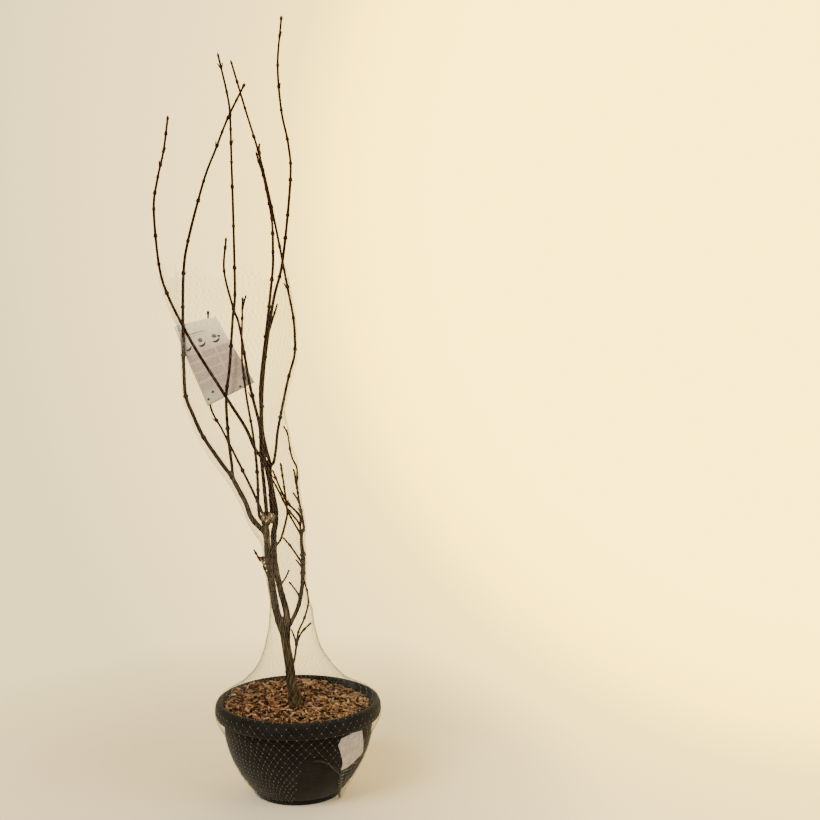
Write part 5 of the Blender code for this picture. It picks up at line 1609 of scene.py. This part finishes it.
def make_net(stalks, looks):
    """The net in two pieces, without what is torn away."""
    nodes = net_nodes(stalks)
    angle = np.degrees(np.arctan2(nodes[..., 1], nodes[..., 0]))
    torn = inside_outline(NET_TEAR, angle, nodes[..., 2]) | label_hides(angle, nodes[..., 2])
    rule = np.random.default_rng(29)
    rows = len(nodes)
    ragged = rows - 1 - (3 * np.abs(np.sin(np.arange(NET_COLUMNS) * 0.37))).astype(int)
    kept = ~torn & (np.arange(rows)[:, None] <= ragged[None])
    starts, ends = [], []
    for row in range(rows - 1):
        for step in (0, -1) if row % 2 == 0 else (0, 1):
            other = (np.arange(NET_COLUMNS) + step) % NET_COLUMNS
            both = kept[row] & kept[row + 1][other]
            starts.append(nodes[row][both])
            ends.append(nodes[row + 1][other][both])
    starts, ends = np.concatenate(starts), np.concatenate(ends)
    knots = nodes[kept]
    for name, share in KNOT_SHARES.items():
        on_pot = name == "net_on_pot"
        chosen, shown = ((spots[:, 2] <= NET_PIECES_MEET) == on_pot for spots in (starts, knots))
        shell = Shell()
        add_threads(shell, starts[chosen], ends[chosen], NET_THREAD)
        add_knots(shell, knots[shown], NET_KNOT * share)
        if on_pot:
            add_bunch(shell, rule)
        shell.piece(name, looks[name])


def add_bunch(shell, rule):
    """Loose threads along the edge of the tear, and those that hang in the bunch."""
    radii, heights = np.array(pot_meridian()).T
    for strand in range(STRANDS):
        if strand % 3 == 0:
            line = np.array(TEAR_STRANDS)[rule.integers(0, 3):]
        else:
            line = np.array(HANGING_STRANDS)
        line = line + rule.normal(0, 1, line.shape) * STRAND_SPREAD
        line[:, 2] += abs(rule.normal(0, 0.0008))
        radius = np.interp(line[:, 1], heights, radii) + line[:, 2]
        low = np.maximum(line[:, 1], STRAND_FLOOR)
        curve = smooth_path(polar(radius, np.radians(line[:, 0]), low), 0.002)
        waves = [noise(curve, STRAND_WAVE[1], seed + strand) for seed in (50, 90)]
        curve[:, :2] += STRAND_WAVE[0] * np.stack(waves, axis=-1)
        curve[:, 2] = np.maximum(curve[:, 2], STRAND_FLOOR)
        add_threads(shell, curve[:-1], curve[1:], NET_THREAD * 1.1)


# Looks: patterns are laid by object coordinates, in metres

EVEN = (1, 1, 1)
ALONG_GRAIN = (1.0, 1.0, 0.09)  # bark patterns are drawn out along the stems


def dealt_out(nodes, links, value, stops):
    """Colours dealt out over a value: (place, (r, g, b)) each."""
    node = nodes.new("ShaderNodeValToRGB")
    marks = node.color_ramp.elements
    while len(marks) < len(stops):
        marks.new(0.5)
    for mark, (at, colour) in zip(marks, stops):
        mark.position = at
        mark.color = (*colour, 1.0)
    links.new(value, node.inputs["Fac"])
    return node.outputs["Color"]


class Look:
    """A material built of nodes."""

    def __init__(self, name, roughness, specular):
        self.material = bpy.data.materials.new(name)
        self.material.use_nodes = True
        self.nodes = self.material.node_tree.nodes
        self.links = self.material.node_tree.links
        self.shader = self.nodes["Principled BSDF"]
        self.shader.inputs["Roughness"].default_value = roughness
        self.shader.inputs["Specular IOR Level"].default_value = specular
        self.place = self.node("TexCoord").outputs["Object"]

    def feed(self, socket, value):
        """A link to a socket, or a number or colour set on it."""
        if isinstance(value, bpy.types.NodeSocket):
            self.links.new(value, socket)
        else:
            socket.default_value = (*value, 1.0) if socket.type == "RGBA" else value

    def node(self, kind, **inputs):
        """A new node with the named inputs fed."""
        node = self.nodes.new("ShaderNode" + kind)
        for name, value in inputs.items():
            self.feed(node.inputs[name.replace("_", " ")], value)
        return node

    def noise(self, scale, stretch=EVEN, detail=3.0, rough=0.6):
        where = self.node("Mapping", Vector=self.place, Scale=stretch).outputs["Vector"]
        pattern = self.node("TexNoise", Vector=where, Scale=scale, Detail=detail, Roughness=rough)
        return pattern.outputs["Fac"]

    def ramp(self, value, *stops):
        return dealt_out(self.nodes, self.links, value, stops)

    def shade(self, value, low, high, start=0.0, end=1.0):
        """A number read off between two places of a value."""
        node = self.node("MapRange", Value=value, From_Min=low, From_Max=high, To_Min=start, To_Max=end)
        return node.outputs["Result"]

    def coordinate(self, axis):
        return self.node("SeparateXYZ", Vector=self.place).outputs[axis]

    def blend(self, factor, first, second):
        node = self.nodes.new("ShaderNodeMix")
        node.data_type = "RGBA"
        for place, value in ((0, factor), (6, first), (7, second)):
            self.feed(node.inputs[place], value)
        return node.outputs[2]

    def sum_of(self, first, second, kind="ADD"):
        node = self.nodes.new("ShaderNodeMath")
        node.operation = kind
        self.feed(node.inputs[0], first)
        self.feed(node.inputs[1], second)
        return node.outputs[0]

    def times(self, first, second):
        return self.sum_of(first, second, "MULTIPLY")

    def colour(self, value):
        self.links.new(value, self.shader.inputs["Base Color"])
        return self

    def rough(self, value):
        self.links.new(value, self.shader.inputs["Roughness"])
        return self

    def bump(self, value, distance, strength):
        node = self.node("Bump", Height=value, Distance=distance, Strength=strength)
        self.links.new(node.outputs["Normal"], self.shader.inputs["Normal"])
        return self


STEM_DARK, STEM_MID, STEM_PALE = (0.0080, 0.0035, 0.0010), (0.030, 0.0155, 0.0060), (0.150, 0.102, 0.058)
STEM_LIGHT = (0.066, 0.040, 0.0200)
STEM_OLIVE = (0.034, 0.026, 0.0050)
BOUGH_DARK, BOUGH_MID, BOUGH_PALE = (0.0085, 0.0030, 0.0012), (0.027, 0.0125, 0.0060), (0.095, 0.058, 0.036)
SHOOT_DARK, SHOOT_MID, SHOOT_PALE = (0.0070, 0.0018, 0.0008), (0.0190, 0.0058, 0.0028), (0.070, 0.034, 0.021)
RED_DARK, RED_MID, RED_PALE = (0.014, 0.0036, 0.0022), (0.036, 0.0095, 0.0062), (0.100, 0.040, 0.028)
TURNS_RED = (0.38, 0.62)        # heights between which boughs turn to the colour of shoots


def bark_look():
    """Grown bark in pale and dark streaks, greener low down and young along the left bough."""
    look = Look("stem_bark", 0.80, 0.02)
    streaks = look.noise(330, ALONG_GRAIN, 3.0, 0.58)
    patches = look.noise(52, (1, 1, 0.45), 3.0)
    mixed = look.sum_of(look.times(streaks, 0.62), look.times(patches, 0.38))
    bark = look.ramp(mixed, (0.42, STEM_DARK), (0.49, STEM_MID), (0.555, STEM_LIGHT), (0.63, STEM_PALE))
    low = look.shade(look.coordinate("Z"), 0.33, 0.17)
    bark = look.blend(look.times(low, 0.45), bark, STEM_OLIVE)
    young = look.ramp(mixed, (0.34, SHOOT_DARK), (0.54, SHOOT_MID), (0.74, SHOOT_PALE))
    high = look.shade(look.coordinate("Z"), 0.490, 0.545)
    right = look.shade(look.coordinate("X"), -0.066, -0.056)
    bark = look.blend(look.times(high, right), bark, young)
    dots = look.shade(look.noise(700, (1, 1, 0.7), 1.0), 0.63, 0.72)
    bark = look.blend(look.times(dots, 0.5), bark, STEM_PALE)
    return look.colour(bark).bump(streaks, 0.0008, 0.5).material


def limb_look(name, dark, mid, pale, turns=TURNS_RED):
    """Young bark, grey-brown low down and dark red towards the tips."""
    look = Look(name, 0.6, 0.03)
    streaks = look.noise(620, ALONG_GRAIN, 3.0)
    patches = look.noise(40, (1, 1, 0.35), 2.0)
    mixed = look.sum_of(look.times(streaks, 0.6), look.times(patches, 0.4))
    young = look.ramp(mixed, (0.34, dark), (0.54, mid), (0.74, pale))
    grown = look.ramp(mixed, (0.30, BOUGH_DARK), (0.48, BOUGH_MID), (0.68, BOUGH_PALE))
    wander = look.shade(look.noise(9, EVEN, 1.0), 0.3, 0.7, -0.06, 0.06)
    turning = look.shade(look.sum_of(look.coordinate("Z"), wander), *turns, 1.0, 0.0)
    dots = look.shade(look.noise(1500, (1, 1, 0.6), 0.0), 0.70, 0.76)
    bark = look.blend(turning, young, grown)
    bark = look.blend(look.times(dots, 0.35), bark, pale)
    satin = look.shade(streaks, 0.3, 0.7, 0.40, 0.62)
    return look.colour(bark).rough(satin).bump(streaks, 0.0004, 0.35).material


def plain_look(name, dark, pale, roughness, scale, stretch=EVEN, relief=0.0003, specular=0.4):
    """Two tones in fine patches."""
    look = Look(name, roughness, specular)
    pattern = look.noise(scale, stretch)
    return look.colour(look.ramp(pattern, (0.32, dark), (0.68, pale))).bump(pattern, relief, 0.6).material


# CARD_LIT is painted light, where the card curls at the top
CARD_DULL, CARD_PLAIN, CARD_LIT = (0.545, 0.41, 0.275), (0.625, 0.48, 0.325), (1.00, 0.83, 0.55)
# CARD_SHADED is a painted shadow of the limbs at the card's lower right
CARD_SHADED, CARD_AT_FOOT = (0.36, 0.262, 0.172), (0.560, 0.500, 0.320)


def card_look():
    """Thin card: pale with painted light where it curls at the top, darker with a painted shadow of the limbs
    at its lower right.
    """
    look = Look("card_paper", 0.6, 0.2)
    fibres = look.noise(90)
    tone = look.ramp(fibres, (0.32, CARD_DULL), (0.68, CARD_PLAIN))
    # painted shadow of the limbs, towards the card's lower right
    right = look.shade(look.coordinate("X"), -0.135, -0.090, 0.0, 0.5)
    low = look.shade(look.coordinate("Z"), 0.84, 0.76)
    tone = look.blend(look.times(right, low), tone, CARD_SHADED)
    foot = look.shade(look.coordinate("Z"), 0.740, 0.715, 0.0, 0.8)
    tone = look.blend(foot, tone, CARD_AT_FOOT)
    # painted light, towards the top where the card curls
    high = look.shade(look.coordinate("Z"), 0.800, 0.846)
    return look.colour(look.blend(high, tone, CARD_LIT)).bump(fibres, 0.0001, 0.6).material


POT_SHEEN = 0.11                # of fine dust
PLASTIC, DUST, DUSTY_RING = (0.0052, 0.0043, 0.0029), (0.085, 0.084, 0.072), (0.085, 0.085, 0.076)


def plastic_look():
    """Satin black plastic, with dust low on the bowl and on the rim."""
    look = Look("pot_plastic", 0.45, 0.0)
    look.shader.inputs["Sheen Weight"].default_value = POT_SHEEN
    look.shader.inputs["Sheen Tint"].default_value = (1.0, 0.95, 0.84, 1.0)
    dust = look.noise(28, (1, 1, 1.4), 5.0, 0.7)
    fine = look.noise(260, (1, 1, 0.5), 3.0)
    rings = look.noise(60, (0.06, 0.06, 9.0), 2.0)
    low = look.shade(look.coordinate("Z"), 0.05, 0.0, 0.0, 0.05)
    high = look.shade(look.coordinate("Z"), 0.138, 0.170, 0.0, 0.030)
    amount = look.sum_of(look.sum_of(look.shade(dust, 0.45, 0.75, 0.0, 0.11), low), high)
    amount = look.times(amount, look.shade(fine, 0.3, 0.7, 0.4, 1.3))
    colour = look.blend(amount, PLASTIC, DUST)
    colour = look.blend(look.shade(rings, 0.56, 0.72, 0.0, 0.05), colour, DUSTY_RING)
    satin = look.shade(fine, 0.3, 0.7, 0.34, 0.55)
    return look.colour(colour).rough(satin).bump(fine, 0.00025, 0.35).material


FLOOR_TONE, FLOOR_GRAIN = (0.88, 0.74, 0.49), (0.5, 0.46, 0.38)
FLOOR_REACH = 1.9
FLOOR_FADE = (0.45, 1.10)       # metres from the pot over which the floor fades
# FLOOR_GLOW: towards the right the floor turns see-through, so the bright backdrop stands in as painted light
# on the floor
FLOOR_GLOW = (0.16, 0.56)       # metres to the right over which it fades as well


def floor_look():
    """A pale floor that fades into the backdrop further away, and towards the right, where the bright
    backdrop shows through as painted light on the floor.
    """
    look = Look("floor", 0.9, 0.1)
    reach = look.node("VectorMath", Vector=look.place)
    reach.operation = "LENGTH"
    away = look.shade(reach.outputs["Value"], *FLOOR_FADE)
    # painted light: the floor fades to the bright backdrop towards the right
    away = look.sum_of(away, look.shade(look.coordinate("X"), *FLOOR_GLOW, 0.0, 0.75))
    clear = look.node("BsdfTransparent")
    grain = look.noise(14)
    look.colour(look.blend(look.shade(grain, 0.3, 0.7, 0.0, 0.05), FLOOR_TONE, FLOOR_GRAIN))
    mixer = look.node("MixShader", Fac=away)
    look.links.new(look.shader.outputs[0], mixer.inputs[1])
    look.links.new(clear.outputs[0], mixer.inputs[2])
    look.links.new(mixer.outputs[0], look.nodes["Material Output"].inputs["Surface"])
    return look.material


# Stage

ROOM_TONE = (0.50, 0.45, 0.36)
WALL_TONE = (2.10, 1.70, 0.78)
GLOW_TOWARDS = (0.3167, 0.9460, 0.0690)
# The backdrop's tones by how near they are to the glow, from 0 (behind) to 1
BACKDROP = (
    (0.560, ROOM_TONE), (0.790, WALL_TONE), (0.9050, WALL_TONE), (0.9216, (2.60, 1.92, 0.84)),
    (0.9440, (3.05, 2.24, 0.86)), (0.9580, (3.90, 2.75, 0.75)), (0.9660, (6.40, 4.40, 0.66)),
    (0.9760, (7.50, 5.20, 0.72)),
)
# place, aim, width, watts
LAMPS = (
    ("key", (-1.5, -1.9, 2.5), (0.0, 0.0, 0.55), 1.5, 92.0),
    ("fill", (2.3, -1.2, 1.4), (0.0, 0.0, 0.5), 1.8, 45.0),
    ("front", (0.1, -2.6, 0.7), (0.0, 0.0, 0.3), 1.2, 16.0),
)


def room():
    """A pale wall behind the plant, brightest high at the right, and a dimmer room before it."""
    world = bpy.data.worlds.new("room")
    world.use_nodes = True
    nodes, links = world.node_tree.nodes, world.node_tree.links
    facing = nodes.new("ShaderNodeVectorMath")
    facing.operation = "DOT_PRODUCT"
    facing.inputs[1].default_value = GLOW_TOWARDS
    links.new(nodes.new("ShaderNodeTexCoord").outputs["Generated"], facing.inputs[0])
    spread = nodes.new("ShaderNodeMapRange")
    spread.inputs["From Min"].default_value = -1.0
    links.new(facing.outputs["Value"], spread.inputs["Value"])
    tones = dealt_out(nodes, links, spread.outputs["Result"], BACKDROP)
    links.new(tones, nodes["Background"].inputs["Color"])
    return world


def make_stage():
    bpy.ops.mesh.primitive_circle_add(vertices=96, radius=FLOOR_REACH, fill_type="NGON")
    floor = bpy.context.object
    floor.name = "floor"
    floor.data.materials.append(floor_look())
    bpy.context.scene.world = room()
    for name, place, aim, width, watts in LAMPS:
        lamp = bpy.data.lights.new(name, "AREA")
        lamp.shape = "DISK"
        lamp.size = width
        lamp.energy = watts
        holder = bpy.data.objects.new(name, lamp)
        holder.location = place
        holder.rotation_euler = (Vector(aim) - Vector(place)).to_track_quat("-Z", "Y").to_euler()
        bpy.context.scene.collection.objects.link(holder)
    lens = bpy.data.cameras.new("camera")
    lens.lens = CAMERA_LENS
    lens.sensor_width = SENSOR
    camera = bpy.data.objects.new("camera", lens)
    camera.location = CAMERA_PLACE
    camera.rotation_euler = (CAMERA_TILT, 0.0, 0.0)
    bpy.context.scene.collection.objects.link(camera)
    bpy.context.scene.camera = camera


# The plant in its pot

BUD_TONES = ((0.014, 0.0030, 0.0010), (0.052, 0.017, 0.008))
TORN_WOOD = {"old_bark": (0.018, 0.008, 0.003), "torn_wood": (0.078, 0.044, 0.021),
             "pale_wood": (0.155, 0.098, 0.054), "brown_wood": (0.042, 0.022, 0.010)}
CALLUS_TONES = {"callus": ((0.040, 0.021, 0.008), (0.420, 0.285, 0.140)),
                "callus_dark": ((0.030, 0.013, 0.005), (0.190, 0.110, 0.055))}
# CALLUS_PALE: pale wood of the callus and the torn stub; on the stub's spots its near-white tone is partly a
# painted highlight
CALLUS_PALE = ((0.70, 0.53, 0.35), (0.88, 0.72, 0.50))
CALLUS_GRAIN = (1, 1, 0.3)
BED_TONES = ((0.010, 0.0035, 0.0014), (0.040, 0.017, 0.007))
BROWNS = (
    ((0.006, 0.0022, 0.0010), (0.022, 0.0090, 0.0040)), ((0.143, 0.055, 0.022), (0.325, 0.143, 0.062)),
    ((0.042, 0.014, 0.006), (0.125, 0.047, 0.020)), ((0.232, 0.120, 0.048), (0.455, 0.258, 0.112)),
    ((0.120, 0.060, 0.023), (0.260, 0.143, 0.062)), ((0.330, 0.205, 0.106), (0.560, 0.385, 0.220)),
)
INKS = {"pale_ink": (0.475, 0.360, 0.245), "grey_ink": (0.150, 0.120, 0.085),
        "dark_ink": (0.030, 0.026, 0.022)}
LABEL_TONES = ((0.295, 0.242, 0.200), (0.425, 0.362, 0.308))
# Threads and knots
NET_TONES = {"net_on_pot": ((0.070, 0.069, 0.053), (0.26, 0.255, 0.20)),
             "net_on_stems": ((0.150, 0.145, 0.110), (0.20, 0.193, 0.150))}


def with_paler(tone, times):
    """A tone and a paler one."""
    return tone, tuple(times * share for share in tone)


def make_plant():
    """All limbs with their buds and wounds; gives back their middle lines."""
    stems, long_limbs, shoots = ([Stalk(limb) for limb in limbs]
                                 for limbs in ((TRUNK, *BOUGHS), LONG_SHOOTS, SHOOTS))
    crown = Crown(stems + long_limbs + shoots)
    bud = plain_look("bud", *BUD_TONES, 0.6, 900, ALONG_GRAIN, 0.0003, 0.03)
    looks = {
        "bough": [limb_look("bough_bark", SHOOT_DARK, SHOOT_MID, SHOOT_PALE), bud],
        "shoot": [limb_look("shoot_bark", SHOOT_DARK, SHOOT_MID, SHOOT_PALE, (0.30, 0.58)), bud],
        "red": [limb_look("red_shoot_bark", RED_DARK, RED_MID, RED_PALE, (0.44, 0.56)), bud],
    }
    stem_skin(stems, long_limbs + shoots, "stem_bark", [bark_look()], [stalk.limb.name for stalk in stems])
    for stalk in long_limbs:
        limb = stalk.limb
        cut = walked(stalk.path)[stalk.path[:, 2] < limb.split][-1]
        bough_piece(limb, stalk, cut, looks["bough"])
        shoot_piece(crown, limb, stalk, cut + 1.3 * GAP, limb.upper, looks["bough"])
    torn_wood = [plain_look(name, *with_paler(tone, 2.2), 0.85, 700, ALONG_GRAIN, 0.0005, 0.0)
                 for name, tone in TORN_WOOD.items()]
    callus = [plain_look(name, *tones, 0.85, 420, CALLUS_GRAIN, 0.0008, 0.0)
              for name, tones in CALLUS_TONES.items()]
    pale = plain_look("callus_pale", *CALLUS_PALE, 0.7, 600)
    make_callus(callus + [pale])
    make_torn_stub(torn_wood + [pale])
    for stalk in shoots:
        if stalk.limb.name == "broken_spur":
            continue
        kind = "red" if stalk.limb.name == "right_shoot" else "shoot"
        shoot_piece(crown, stalk.limb, stalk, 0.0, stalk.limb.name, looks[kind])
    return stems + long_limbs + shoots


def make_all():
    """All pieces, with the bark before the pot, the mulch, the sheets and the net."""
    stalks = make_plant()
    make_pot([plastic_look()])
    chips = [plain_look("mulch_%d" % k, *tones, 0.85, 260, EVEN, 0.0004, 0.05)
             for k, tones in enumerate(BROWNS)]
    make_bed(plain_look("mulch_bed", *BED_TONES, 0.95, 220, specular=0.0))
    make_chips(chips)
    inks = [plain_look(name, *with_paler(tone, 1.12), 0.6, 400) for name, tone in INKS.items()]
    label = plain_look("label_paper", *LABEL_TONES, 0.6, 130, EVEN, 0.0002, 0.1)
    make_sheets(card_look(), *inks, label)
    net = {name: [plain_look(name + kind, *with_paler(tone, 1.6), 0.6, 900, specular=0.2)
                  for kind, tone in zip(("_thread", "_knot"), pair)] for name, pair in NET_TONES.items()}
    make_net(stalks, net)


make_all()
make_stage()
